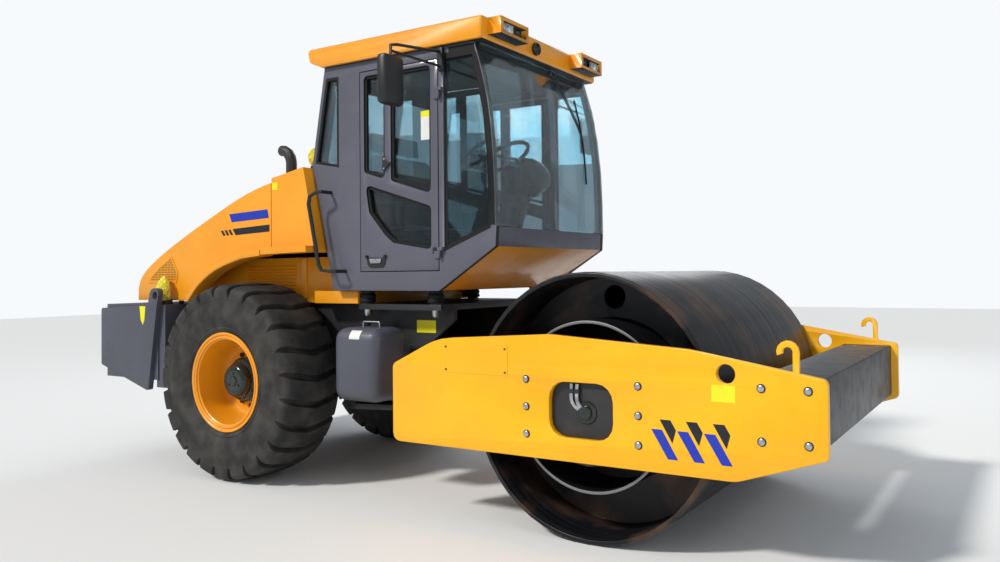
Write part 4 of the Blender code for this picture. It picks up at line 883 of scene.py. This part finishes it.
for side, sign in SIDES:
    places = MOUNT_SCREWS + BEAM_SCREWS
    moves = [(x - places[0][0], 0, z - places[0][1]) for x, z in places[1:]]
    washer = button(f"{side}_washer", on_plate(sign, *places[0], -0.001), (0, sign, 0), 0.0225, 0.003, CHASSIS_DARK,
                    FRONT, 24, 0.0)
    copies(f"{side}_plate_washers", washer, moves)
    head = button(f"{side}_head", on_plate(sign, *places[0]), (0, sign, 0), 0.0165, 0.009, ZINC, FRONT, 24)
    copies(f"{side}_plate_screws", head, moves)
    flank(f"{side}_cover_plate", sign, PLATE_FACE, rect(0.756, 0.921, 1.224, 1.096), COVER, PLATE_YELLOW, FRONT,
          round_by=0.001)
    screw = button(f"{side}_cover_screw", on_plate(sign, 0.775, 0.940, COVER), (0, sign, 0), 0.006, 0.003,
                   CHASSIS_DARK, FRONT, 12)
    copies(f"{side}_cover_screws", screw, [(0.43, 0, 0), (0, 0, 0.137), (0.43, 0, 0.137)])
    bar = flank(f"{side}_blue_bar", sign, LAID, BLUE_BAR, VINYL, BLUE_FILM, FRONT)
    copies(f"{side}_blue_bars", bar, [(BAR_PITCH, 0, 0), (2 * BAR_PITCH, 0, 0)])
    wedge = flank(f"{side}_navy_wedge", sign, LAID, NAVY_WEDGE, VINYL, NAVY_FILM, FRONT)
    copies(f"{side}_navy_wedges", wedge, [(BAR_PITCH, 0, 0), (2 * BAR_PITCH, 0, 0)])
    flank(f"{side}_lifting_label", sign, LAID, rect(2.456, 0.860, 2.579, 0.945), VINYL, YELLOW_FILM, FRONT)

# %% [markdown]
# ## Behind the window of the plate
# The hole in the side plate shows the travel motor's end with its hose fittings.  The motor is
# turned, and the fittings are short bent pipes.  On the drum's end the edge of the inner ring is worn
# bright, and it shows above the plate.

# %% Motor, fittings and the bright ring
def pipe(name, points, radius, material, body, sides=2):
    """A round bar on a smooth curve, made a mesh."""
    data = bpy.data.curves.new(name, "CURVE")
    data.dimensions = "3D"
    data.bevel_depth = radius
    data.bevel_resolution = sides
    data.resolution_u = 6
    data.use_fill_caps = True
    line = data.splines.new("NURBS")
    line.points.add(len(points) - 1)
    for point, place in zip(line.points, points):
        point.co = (*place, 1.0)
    line.use_endpoint_u = True
    line.order_u = 3
    thing = bpy.data.objects.new(name, data)
    bpy.context.scene.collection.objects.link(thing)
    only(thing)
    bpy.ops.object.convert(target="MESH")
    thing = bpy.context.object
    bpy.ops.object.mode_set(mode="EDIT")
    weld_and_face_out()
    return settle(thing, material, body, 50)


RING = [(0.4705, 0.0002), (0.4855, 0.0002), (0.4855, 0.0018), (0.4840, 0.0024), (0.4720, 0.0024),
        (0.4705, 0.0018), (0.4705, 0.0002)]
MOTOR = [(0.0, 0.030), (0.034, 0.030), (0.038, 0.026), (0.040, 0.012), (0.060, 0.010), (0.064, 0.006), (0.066, 0.0),
         (0.0, 0.0)]
for side, sign in SIDES:
    face = PLATE_FACE - 0.040
    middle = (DRUM_AXLE.x + 0.020, sign * face, DRUM_AXLE.z - 0.020)
    motor = settle(lathe(f"{side}_motor_end", MOTOR, middle, sign, 32), GLOSSY_PLASTIC, FRONT, 30)
    for i, lean in enumerate((-0.070, -0.035)):
        x = DRUM_AXLE.x + lean
        pipe(f"{side}_motor_pipe_{i}", [(x + 0.05, sign * (face + 0.014), DRUM_AXLE.z - 0.005),
                                        (x + 0.01, sign * (face + 0.016), DRUM_AXLE.z + 0.02),
                                        (x, sign * (face + 0.016), DRUM_AXLE.z + 0.07),
                                        (x + 0.005, sign * (face + 0.014), DRUM_AXLE.z + 0.138)],
             0.0125, ZINC, FRONT)
        button(f"{side}_pipe_nut_{i}", (x + 0.003, sign * (face + 0.014), DRUM_AXLE.z + 0.085), (0, 0, 1), 0.019,
               0.024, CHASSIS_DARK, FRONT, 6, 0.0)
    ring_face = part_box("left_front_plate")[0].y - 0.060
    bright = settle(lathe(f"{side}_ring_edge", RING, (DRUM_AXLE.x, sign * ring_face, DRUM_AXLE.z), sign, 96),
                    WORN_STEEL, "roller_drum", 30)

# %% [markdown]
# ## Cab inside
# The faces that look into the cab get a near-black material, painted shade for the dark inside of the
# cab, so only the outer faces are enamel.  The underside of the nose is painted in the hood's yellow.

# %% Painted shade inside the cab and the yellow underside
# Near-black painted shade for the faces inside the cab.
CAB_INSIDE_SHADE = plastic("painted_cab_inside_shade", "#16191C", "#1E2124", 0.55, 0.006)


def recolour_faces(thing, test, material):
    """Faces that pass a test get a second material."""
    thing.data.materials.append(material)
    count = 0
    for face in thing.data.polygons:
        if test(face.center, face.normal):
            face.material_index = len(thing.data.materials) - 1
            count += 1
    print(thing.name, "repainted faces:", count)


DATA = bpy.data.objects
for side, sign in SIDES:
    for piece in (f"{side}_cab_side_finished", f"{side}_door_finished"):
        recolour_faces(DATA[piece], lambda c, n, s=sign: n.y * s < -0.3 or s * c.y < 0.745, CAB_INSIDE_SHADE)
recolour_faces(DATA["cab_rear_wall_finished"], lambda c, n: n.x > 0.3, CAB_INSIDE_SHADE)
recolour_faces(DATA["cab_roof_finished"], lambda c, n: n.z < -0.9 and abs(c.y) < 0.6, CAB_INSIDE_SHADE)
recolour_faces(DATA["cab_front_panel_finished"], lambda c, n: n.z < -0.3, HOOD_YELLOW)
recolour_faces(DATA["cab_front_panel_finished"], lambda c, n: n.z > 0.9 or n.x < -0.5, CAB_INSIDE_SHADE)

# %% [markdown]
# ## Window seals and printed borders
# The panes sit in black rubber, and bonded glass has a black border fired on.  For the quarter panes
# the band follows the corners of the pane itself.  The door has one pane behind three openings, so there the
# band follows each opening.

# %% Seals
def pane_band(node, sign, width, out, material, body):
    """A band round the outer face of a glass node, drawn through that face's own corners."""
    pane = welded_copy(node, node + "_pane")
    face = max((f for f in pane.data.polygons if f.normal.y * sign > 0.9), key=lambda f: f.area)
    points = [pane.data.vertices[i].co + Vector((0, sign * 0.0004, 0)) for i in face.vertices]
    bpy.data.objects.remove(pane)
    return slab(node + "_band", points, (0, sign * out, 0), material, body, hole=width)


DOOR_PANES = {
    "rear": [(-0.236, 2.250), (-0.039, 2.198), (-0.039, 2.941), (-0.236, 2.941)],
    "front": [(0.014, 2.184), (0.371, 2.089), (0.371, 2.941), (0.014, 2.941)],
    "low": [(-0.226, 2.160), (-0.191, 1.958), (-0.041, 1.794), (0.029, 1.739), (0.371, 1.684), (0.371, 1.982)],
}
for side, sign in SIDES:
    pane_band(f"{side}_front_quarter_glass", sign, 0.022, 0.0008, SEAL_RUBBER, REAR)
    pane_band(f"{side}_rear_quarter_glass", sign, 0.020, 0.0120, SEAL_RUBBER, REAR)
    for name, points in DOOR_PANES.items():
        flank(f"{side}_door_seal_{name}", sign, 0.7285, points, 0.020, SEAL_RUBBER, f"{side}_door_leaf", hole=0.020)

# %% [markdown]
# The front post and the strip above the quarter pane are behind glass on the real cab, with a black
# print under it, so a thin dark sheet covers them.  Its front edge follows the windscreen's curve.

# %% Printed glass over the front post
def screen_edge(z):
    """The windscreen's outer face at a height, as the frame has it."""
    low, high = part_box("windscreen")
    up = max(0.0, (z - low.z) / (high.z - low.z))
    return high.x - (high.x - low.x) * up ** 2.8


CAB_FACE = 0.7602            # just outside the cab's flank
POST_HEIGHTS = [1.834, 2.05, 2.27, 2.45, 2.60, 2.72, 2.82, 2.90, 2.97]
for side, sign in SIDES:
    front = [(screen_edge(z) - 0.010, z) for z in POST_HEIGHTS]
    back = [(screen_edge(z) - 0.048, z) for z in reversed(POST_HEIGHTS)]
    flank(f"{side}_post_print", sign, CAB_FACE, front + back, 0.0016, SEAL_RUBBER, REAR)
    top = [(0.474, 2.962), (screen_edge(2.97) - 0.012, 2.962), (screen_edge(3.03) - 0.012, 3.036), (0.530, 3.036),
           (0.530, 3.000), (0.474, 3.000)]
    flank(f"{side}_head_print", sign, CAB_FACE, top, 0.0014, SEAL_RUBBER, REAR)
    low = [(0.474, 1.668), (0.858, 1.816), (0.858, 1.838), (0.474, 1.690)]
    flank(f"{side}_sill_print", sign, CAB_FACE, low, 0.0012, SEAL_RUBBER, REAR)

# %% [markdown]
# ## Door furniture
# Each door has a recessed pull with a bright lever, a latch for the sliding pane at the post between
# the two upper panes, and a blank maker's paper on the glass.

# %% Handles, latches and paper
for side, sign in SIDES:
    skin, body = 0.760, f"{side}_door_leaf"
    on_skin = skin + 0.0002
    bezel = [(-0.215, 1.640), (-0.200, 1.585), (-0.175, 1.568), (-0.065, 1.568), (-0.045, 1.585), (-0.030, 1.640)]
    flank(f"{side}_handle_bezel", sign, on_skin, bezel, 0.006, BLACK_PLASTIC, body, round_by=0.002)
    lever = [(-0.172, 1.600), (-0.078, 1.600), (-0.070, 1.632), (-0.180, 1.632)]
    flank(f"{side}_handle_lever", sign, skin + 0.0055, lever, 0.009, ZINC, body, round_by=0.003)
    for i, x in enumerate((-0.208, -0.037)):
        button(f"{side}_handle_lug_{i}", (x, sign * skin, 1.648), (0, sign, 0), 0.011, 0.014, BLACK_PLASTIC, body,
               16)
    latch = [(-0.052, 2.245), (-0.052, 2.350), (-0.010, 2.320), (0.022, 2.300), (-0.010, 2.272)]
    flank(f"{side}_pane_latch", sign, on_skin, latch, 0.016, BLACK_PLASTIC, body, round_by=0.004)
    for i, z in enumerate((2.262, 2.330)):
        button(f"{side}_latch_screw_{i}", (-0.034, sign * (skin + 0.016), z), (0, sign, 0), 0.006, 0.003, ZINC,
               body, 12)
    flank(f"{side}_door_lock", sign, on_skin, rect(0.385, 1.655, 0.412, 1.700), 0.006, BLACK_PLASTIC, body,
          round_by=0.0015)
flank("right_window_paper", -1, 0.7287, rect(0.262, 2.440, 0.358, 2.628), 0.0006, WHITE_FILM, "right_door_leaf")
flank("right_paper_strip", -1, 0.7294, rect(0.262, 2.600, 0.358, 2.640), 0.0005, YELLOW_FILM, "right_door_leaf")

# %% [markdown]
# ## Roof lamps, horn and wiper
# A work lamp sits in the outer half of each pod: a black box, a chromed bowl and a clear lens.  The
# bowl is a block whose face is inset and pushed in.  A round horn is screwed to the roof's front
# edge, and one wiper hangs from the head of the windscreen.

# %% Lamps and horn
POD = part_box("cab_roof")[1].x


def bowl(name, low, high, depth, material, body):
    """A block whose front face is inset and pushed in to make a reflector."""
    low, high = Vector(low), Vector(high)
    bpy.ops.mesh.primitive_cube_add(size=1.0, location=(low + high) / 2)
    thing = newest(name)
    thing.scale = high - low
    apply_place()
    clear_selection(thing)
    for face in thing.data.polygons:
        if face.normal.x > 0.9:
            for index in face.vertices:
                thing.data.vertices[index].select = True
            face.select = True
    bpy.ops.object.mode_set(mode="EDIT")
    bpy.ops.mesh.inset(thickness=0.005)
    for part in (0.45, 0.35, 0.20):
        bpy.ops.mesh.extrude_region_move(TRANSFORM_OT_translate={"value": (-depth * part, 0, 0)})
        bpy.ops.transform.resize(value=(1, 0.80, 0.72))
    return settle(thing, material, body, 60)


for side, sign in SIDES:
    wide = sorted((sign * 0.548, sign * 0.684))
    across(f"{side}_lamp_back", POD - 0.068, (sign * 0.414, sign * 0.686), (3.108, 3.167), 0.006, SEAL_RUBBER,
           round_by=0.002)
    bowl(f"{side}_lamp_reflector", (POD - 0.060, wide[0], 3.109), (POD - 0.018, wide[1], 3.167), 0.030, CHROME,
         REAR)
    across(f"{side}_lamp_lens", POD - 0.017, (wide[0] + 0.002, wide[1] - 0.002), (3.111, 3.165), 0.005, LENS_GLASS,
           round_by=0.0015)
    small = sorted((sign * 0.425, sign * 0.520))
    bowl(f"{side}_marker_lamp", (POD - 0.060, small[0], 3.116), (POD - 0.030, small[1], 3.160), 0.012,
         GLOSSY_PLASTIC, REAR)
ROOF_FRONT = 0.826
HORN = [(0.0, 0.010), (0.012, 0.012), (0.018, 0.006), (0.030, 0.008), (0.036, 0.020), (0.042, 0.022),
        (0.046, 0.018), (0.047, 0.0), (0.0, 0.0)]
horn = outline("roof_horn", [(ROOF_FRONT + far, -0.13, 3.120 + radius) for radius, far in HORN])
turn(40, (ROOF_FRONT, -0.13, 3.120), (1, 0, 0))
settle(horn, GLOSSY_PLASTIC, REAR, 40)

# %% Wiper
def on_screen(y, z, out=0.010):
    return (screen_edge(z) + out, y, z)


pipe("wiper_arm", [on_screen(0.19, 3.035, 0.004), on_screen(0.215, 2.98), on_screen(0.33, 2.78, 0.016),
                   on_screen(0.44, 2.60, 0.017), on_screen(0.480, 2.52, 0.012)], 0.006, BLACK_PLASTIC, REAR, 1)
pipe("wiper_guide_rod", [on_screen(0.235, 3.03, 0.004), on_screen(0.255, 2.98), on_screen(0.36, 2.78, 0.016),
                         on_screen(0.455, 2.62, 0.017), on_screen(0.480, 2.54, 0.012)], 0.004, BLACK_PLASTIC,
     REAR, 1)
pipe("wiper_blade", [on_screen(0.474, 2.86, 0.005), on_screen(0.478, 2.70, 0.006), on_screen(0.480, 2.52, 0.007),
                     on_screen(0.482, 2.36, 0.006), on_screen(0.484, 2.20, 0.005)], 0.007, SEAL_RUBBER,
     REAR, 1)
button("wiper_pivot", on_screen(0.19, 3.020, -0.002), (1, 0, 0.1), 0.020, 0.016, BLACK_PLASTIC, REAR)

# %% [markdown]
# ## The operator's seat
# A suspension seat has a black stand with a rubber bellows, a foam cushion and a back in dark cloth,
# two armrests and a headrest.  Each cushion starts as a block that is cut up, pulled in at its rim and
# crowned, and a Subdivision Surface rounds it.  The cloth's threads are 1 mm and are drawn at 6 mm.

# %% Cushions
def woven(name, colour, lighter):
    """Woven upholstery with a ribbed bump."""
    material, tree, shader, where = start(name)
    cloud = patches(tree, where, 14.0, 0.35, 0.75)
    coloured(tree, shader, cloud, colour, lighter)
    shader.inputs["Roughness"].default_value = 0.85
    shader.inputs["Sheen Weight"].default_value = 0.30
    rib = add(tree, "ShaderNodeTexWave", {"Vector": where, "Scale": 26.0, "Distortion": 0.6}, bands_direction="Z")
    bumped(tree, shader, rib.outputs["Fac"], 0.3, 0.002)
    return material


SEAT_CLOTH = woven("ribbed_seat_cloth", "#1D1F27", "#2A2D38")


def cushion(name, low, high, lean, crown, body):
    """A padded block between two corners: leaned, crowned along its thin axis, and rounded."""
    low, high = Vector(low), Vector(high)
    size = high - low
    middle = (low + high) / 2
    thin = min(range(3), key=lambda axis: size[axis])
    bpy.ops.mesh.primitive_cube_add(size=1.0, location=middle)
    thing = newest(name)
    thing.scale = size
    apply_place()
    edit_all()
    bpy.ops.mesh.subdivide(number_cuts=5)
    bpy.ops.object.mode_set(mode="OBJECT")
    for vertex in thing.data.vertices:
        offset = vertex.co - middle
        part = [2 * offset[axis] / size[axis] for axis in range(3)]
        others = [axis for axis in range(3) if axis != thin]
        rim = max(abs(part[axis]) for axis in others)
        vertex.co[thin] -= offset[thin] * (crown * rim ** 4)
        for axis in others:
            vertex.co[axis] -= offset[axis] * 0.05 * abs(part[thin]) ** 2
        vertex.co.x -= lean * (offset.z / size.z)
    only(thing)
    smooth = thing.modifiers.new("rounded", "SUBSURF")
    smooth.levels = smooth.render_levels = 2
    bpy.ops.object.modifier_apply(modifier=smooth.name)
    bpy.ops.object.mode_set(mode="EDIT")
    settle(thing, SEAT_CLOTH, body, 60)
    return thing


pads = [cushion("seat_cushion", (-0.470, -0.245, 1.775), (0.035, 0.245, 1.885), 0.0, 0.45, REAR),
        cushion("seat_backrest", (-0.455, -0.235, 1.860), (-0.365, 0.235, 2.440), 0.075, 0.45, REAR),
        cushion("seat_headrest", (-0.535, -0.140, 2.470), (-0.455, 0.140, 2.612), 0.015, 0.40, REAR)]
for pad in pads:
    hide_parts("seat")
lying("seat_stand_base", (-0.355, -0.195), (-0.065, 0.195), 1.4465, 0.040, BLACK_PLASTIC, round_by=0.006)
folds = []
for i in range(6):
    fold = lying(f"seat_bellows_{i}", (-0.330, -0.170), (-0.090, 0.170), 1.4870 + i * 0.048, 0.0475, HOSE_RUBBER)
    folds.append(round_edges(fold, 0.018, 2))
joined("seat_bellows", folds)
for side, sign in SIDES:
    cushion(f"{side}_armrest", (-0.400, min(sign * 0.195, sign * 0.248), 2.055),
                  (-0.100, max(sign * 0.195, sign * 0.248), 2.115), 0.0, 0.3, REAR)
    pipe(f"{side}_armrest_stay", [(-0.385, sign * 0.222, 1.900), (-0.388, sign * 0.222, 2.000),
                                  (-0.372, sign * 0.222, 2.070)], 0.014, BLACK_PLASTIC, REAR, 1)
pipe("headrest_stay", [(-0.452, 0.0, 2.405), (-0.470, 0.0, 2.450), (-0.485, 0.0, 2.490)], 0.010, CHROME, REAR)

# %% [markdown]
# ## Hood decoration and grille
# The hood's sides carry a plain blue bar over a charcoal stripe that starts in slanted blocks, all
# of cut vinyl.  At the rear corner a triangle of perforated sheet lets the radiator breathe.  Its
# holes are 6 mm at 10 mm in steel, and are drawn at 20 mm so that they show.

# %% Vinyl on the hood
HOOD_SIDE = 0.840
ON_HOOD = HOOD_SIDE + 0.0003
STRIPE = [(-1.515, 1.843), (-1.128, 1.858), (-1.128, 1.911), (-1.549, 1.892)]
BLOCK = [(-1.572, 1.846), (-1.545, 1.847), (-1.574, 1.888), (-1.601, 1.887)]
NAME_BAR = [(-1.560, 1.946), (-1.135, 1.962), (-1.150, 2.028), (-1.590, 2.010)]
for side, sign in SIDES:
    flank(f"{side}_hood_stripe", sign, ON_HOOD, STRIPE, VINYL, NAVY_FILM, HOOD)
    block = flank(f"{side}_hood_block", sign, ON_HOOD, BLOCK, VINYL, NAVY_FILM, HOOD)
    copies(f"{side}_hood_blocks", block, [(-0.045, 0, -0.002), (-0.090, 0, -0.004)])
    flank(f"{side}_hood_bar", sign, ON_HOOD, NAME_BAR, VINYL, BLUE_FILM, HOOD)
    flank(f"{side}_cowl_sticker", sign, ON_HOOD, rect(-1.094, 2.170, -1.036, 2.226), VINYL, YELLOW_FILM, REAR)


# %% Perforated corner grille
def perforated(name, colour, hole):
    """Painted sheet with round holes on a square grid; the holes get painted shade, dark inside."""
    material, tree, shader, where = start(name)
    dots = add(tree, "ShaderNodeTexVoronoi", {"Vector": where, "Scale": 50.0, "Randomness": 0.0},
               feature="F1")
    inside = add(tree, "ShaderNodeMapRange",
                 {"Value": dots.outputs["Distance"], "From Min": 0.36, "From Max": 0.30})
    coloured(tree, shader, inside.outputs["Result"], colour, hole)
    shader.inputs["Roughness"].default_value = 0.45
    up = add(tree, "ShaderNodeMath", {0: 1.0, 1: inside.outputs["Result"]}, operation="SUBTRACT")
    bumped(tree, shader, up.outputs[0], 0.6, 0.004)
    return material


# The second colour is the painted shade seen through the holes.
MESH_YELLOW = perforated("perforated_yellow_sheet", "#E39A12", "#7A4B06")
CORNER = [(-2.628, 1.470), (-2.250, 1.470), (-2.232, 1.560), (-2.318, 1.690), (-2.480, 1.605), (-2.600, 1.520)]
for side, sign in SIDES:
    flank(f"{side}_corner_grille", sign, HOOD_SIDE + 0.0002, CORNER, 0.002, MESH_YELLOW, HOOD)
    flank(f"{side}_corner_frame", sign, ON_HOOD, CORNER, 0.005, HOOD_YELLOW, HOOD, hole=0.014, round_by=0.0015)

# %% [markdown]
# ## Under the wheel arch
# The inner panel beside the engine is pressed with louvres.  One louvre is a long wedge, and the rest
# are its copies at 24 mm.

# %% Louvres
PANEL_FACE = 0.6002
for side, sign in SIDES:
    y = sign * PANEL_FACE
    first = outline(f"{side}_louvre", [(-1.66, y, 1.395), (-1.66, y, 1.411), (-1.66, y + sign * 0.010, 1.397),
                                       (-1.66, y, 1.395)])
    bpy.ops.mesh.select_all(action="SELECT")
    bpy.ops.mesh.remove_doubles(threshold=0.0001)
    bpy.ops.mesh.edge_face_add()
    bpy.ops.mesh.extrude_region_move(TRANSFORM_OT_translate={"value": (0.56, 0, 0)})
    weld_and_face_out()
    settle(first, HOOD_YELLOW, REAR, 20)
    copies(f"{side}_louvres", first, [(0, 0, 0.024 * i) for i in range(1, 9)])
    flank(f"{side}_arch_stay", sign, PANEL_FACE, rect(-1.03, 1.345, -0.98, 1.655), 0.012, HOOD_YELLOW, REAR,
          round_by=0.003)

# %% [markdown]
# ## Tanks, labels and mounts
# Each side tank has a bent lifting handle, a filler cap and a blank paper label that follows the
# tank's rounded shoulder, laid on with Shrinkwrap.  The cab's rubber mounts end in domed nuts.

# %% Tank handle, cap and label
TANK_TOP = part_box("fuel_tank")[1].z
HANDLE = [(-0.186, -0.004), (-0.186, 0.022), (-0.184, 0.036), (-0.170, 0.037), (-0.110, 0.037), (-0.050, 0.037),
          (-0.037, 0.036), (-0.035, 0.022), (-0.035, -0.004)]
MOUNT = [(0.046, 0.004), (0.058, 0.010), (0.060, 0.024), (0.052, 0.034), (0.058, 0.046), (0.058, 0.060),
         (0.048, 0.072), (0.046, 0.072), (0.046, 0.004)]
MOUNT_FOOT = 1.314           # where the cab's mounts stand
for side, sign in SIDES:
    tank = "fuel_tank" if sign < 0 else "hydraulic_tank"
    pipe(f"{side}_tank_handle", [(x, sign * 0.830, TANK_TOP + up) for x, up in HANDLE], 0.006, ZINC, REAR)
    button(f"{side}_filler_cap", (-0.250, sign * 0.740, TANK_TOP - 0.002), (0, 0, 1), 0.038, 0.028, BLACK_PLASTIC,
                 REAR, 24)
    bpy.ops.mesh.primitive_grid_add(x_subdivisions=8, y_subdivisions=8, size=1.0,
                                    location=(-0.115, sign * 0.999, 1.120),
                                    rotation=(-sign * math.radians(48), 0, 0))
    label = newest(f"{side}_tank_label")
    label.scale = (0.095, 0.085, 1.0)
    apply_place()
    wrap = label.modifiers.new("laid_on", "SHRINKWRAP")
    wrap.target = DATA[tank + "_finished"]
    wrap.offset = 0.0012
    bpy.ops.object.modifier_apply(modifier=wrap.name)
    edit_all()
    bpy.ops.mesh.extrude_region_move(TRANSFORM_OT_translate={"value": (0, -sign * 0.0006, -0.0006)})
    weld_and_face_out()
    settle(label, WHITE_FILM, REAR, 60)
    flank(f"{side}_frame_label", sign, 0.5503, rect(0.066, 1.105, 0.237, 1.193), 0.001, YELLOW_FILM, REAR)
    for i, x in enumerate((-0.308, 0.318)):
        button(f"{side}_mount_nut_{i}", (x, sign * 0.650, 1.271), (0, 0, -1), 0.030, 0.030, ZINC, REAR, 16, 0.6)
        mount = outline(f"{side}_rubber_mount_{i}", [(x + r, sign * 0.650, MOUNT_FOOT + up) for r, up in MOUNT])
        turn(32, (x, sign * 0.650, MOUNT_FOOT), (0, 0, 1))
        settle(mount, SEAL_RUBBER, REAR, 30)

# %% [markdown]
# ## Wrapped lamps
# The rear lamps and the air pre-cleaner are still in the yellow film that they were shipped in.
# Crumpled film is many small flat facets, so a ball is squeezed, its points are shaken with a fixed
# seed, and it stays nearly flat-shaded.

# %% Crumpled film
def crumpled(name, centre, size, seed, body):
    """A wrapped lump: a ball squeezed to a size, with creases."""
    bpy.ops.mesh.primitive_ico_sphere_add(subdivisions=4, radius=1.0, location=centre)
    thing = newest(name)
    thing.scale = size
    apply_place()
    edit_all()
    bpy.ops.transform.vertex_random(offset=0.006, uniform=0.4, normal=0.5, seed=seed)
    bpy.ops.object.mode_set(mode="OBJECT")
    dice = random.Random(seed)
    folds = [(Vector([dice.uniform(-1, 1) for _ in range(3)]).normalized(), dice.uniform(0.3, 0.9))
             for _ in range(16)]
    middle = Vector(centre)
    for vertex in thing.data.vertices:
        way = Vector([(vertex.co - middle)[axis] / size[axis] for axis in range(3)])
        press = sum(max(0.0, way.dot(fold) - reach) * 0.55 for fold, reach in folds)
        vertex.co -= (vertex.co - middle) * min(0.30, press)
    bpy.ops.object.mode_set(mode="EDIT")
    return settle(thing, WRAP_FILM, body, 18)


def wrap_film():
    """Thin polythene film: glossy, slightly see-through, strongly creased."""
    material, tree, shader, where = start("yellow_polythene_film")
    crease = add(tree, "ShaderNodeTexVoronoi", {"Vector": where, "Scale": 38.0}, feature="DISTANCE_TO_EDGE")
    line = add(tree, "ShaderNodeMapRange", {"Value": crease.outputs["Distance"], "From Min": 0.10, "From Max": 0.0})
    # The crease lines are painted darker: painted shade in the creases.
    coloured(tree, shader, line.outputs["Result"], "#F7EE4A", "#C9A91E")
    shader.inputs["Roughness"].default_value = 0.28
    shader.inputs["Subsurface Weight"].default_value = 0.15
    shader.inputs["Subsurface Radius"].default_value = (0.01, 0.008, 0.002)
    bumped(tree, shader, line.outputs["Result"], 0.5, 0.004)
    return material


WRAP_FILM = wrap_film()
WEIGHT_TOP = 1.2955
for number, (side, sign) in enumerate(SIDES):
    crumpled(f"{side}_wrapped_lamp", (-2.330, sign * 0.905, 1.428), (0.092, 0.048, 0.120), 3 + number, REAR)
    lying(f"{side}_lamp_bracket", (-2.400, sign * 0.870), (-2.260, sign * 0.940), WEIGHT_TOP, 0.035, CHASSIS_DARK,
          round_by=0.003)
crumpled("wrapped_pre_cleaner", (-0.885, -0.590, 2.432), (0.088, 0.088, 0.104), 11, REAR)
button("pre_cleaner_neck", (-0.885, -0.590, 2.283), (0, 0, 1), 0.045, 0.080, BLACK_PLASTIC, REAR, 32, 0.0)

# %% [markdown]
# ## The back of the machine
# The counterweight carries two tail lamps a side, a blank number plate and a tag on each flank.  The
# lamps are moulded red and amber lenses in a black frame.

# %% Tail lamps and tag
BLOCK_BACK = -2.9955
TAG = [(-2.468, 1.170), (-2.440, 1.130), (-2.418, 1.170), (-2.405, 1.282), (-2.484, 1.282)]
for side, sign in SIDES:
    for name, near, far, finish in (("stop", 0.80, 0.91, RED_FILM), ("turn", 0.67, 0.78, AMBER_FILM)):
        across(f"{side}_{name}_lamp", BLOCK_BACK, (sign * near, sign * far), (1.06, 1.14), -0.024, finish,
               round_by=0.006)
    across(f"{side}_lamp_frame", BLOCK_BACK, (sign * 0.655, sign * 0.925), (1.045, 1.155), -0.014, BLACK_PLASTIC,
           round_by=0.004)
    flank(f"{side}_weight_tag", sign, 1.0203, TAG, 0.001, YELLOW_FILM, REAR)
across("registration_plate", BLOCK_BACK, (-0.26, 0.26), (0.90, 1.02), -0.004, WHITE_FILM, round_by=0.001)
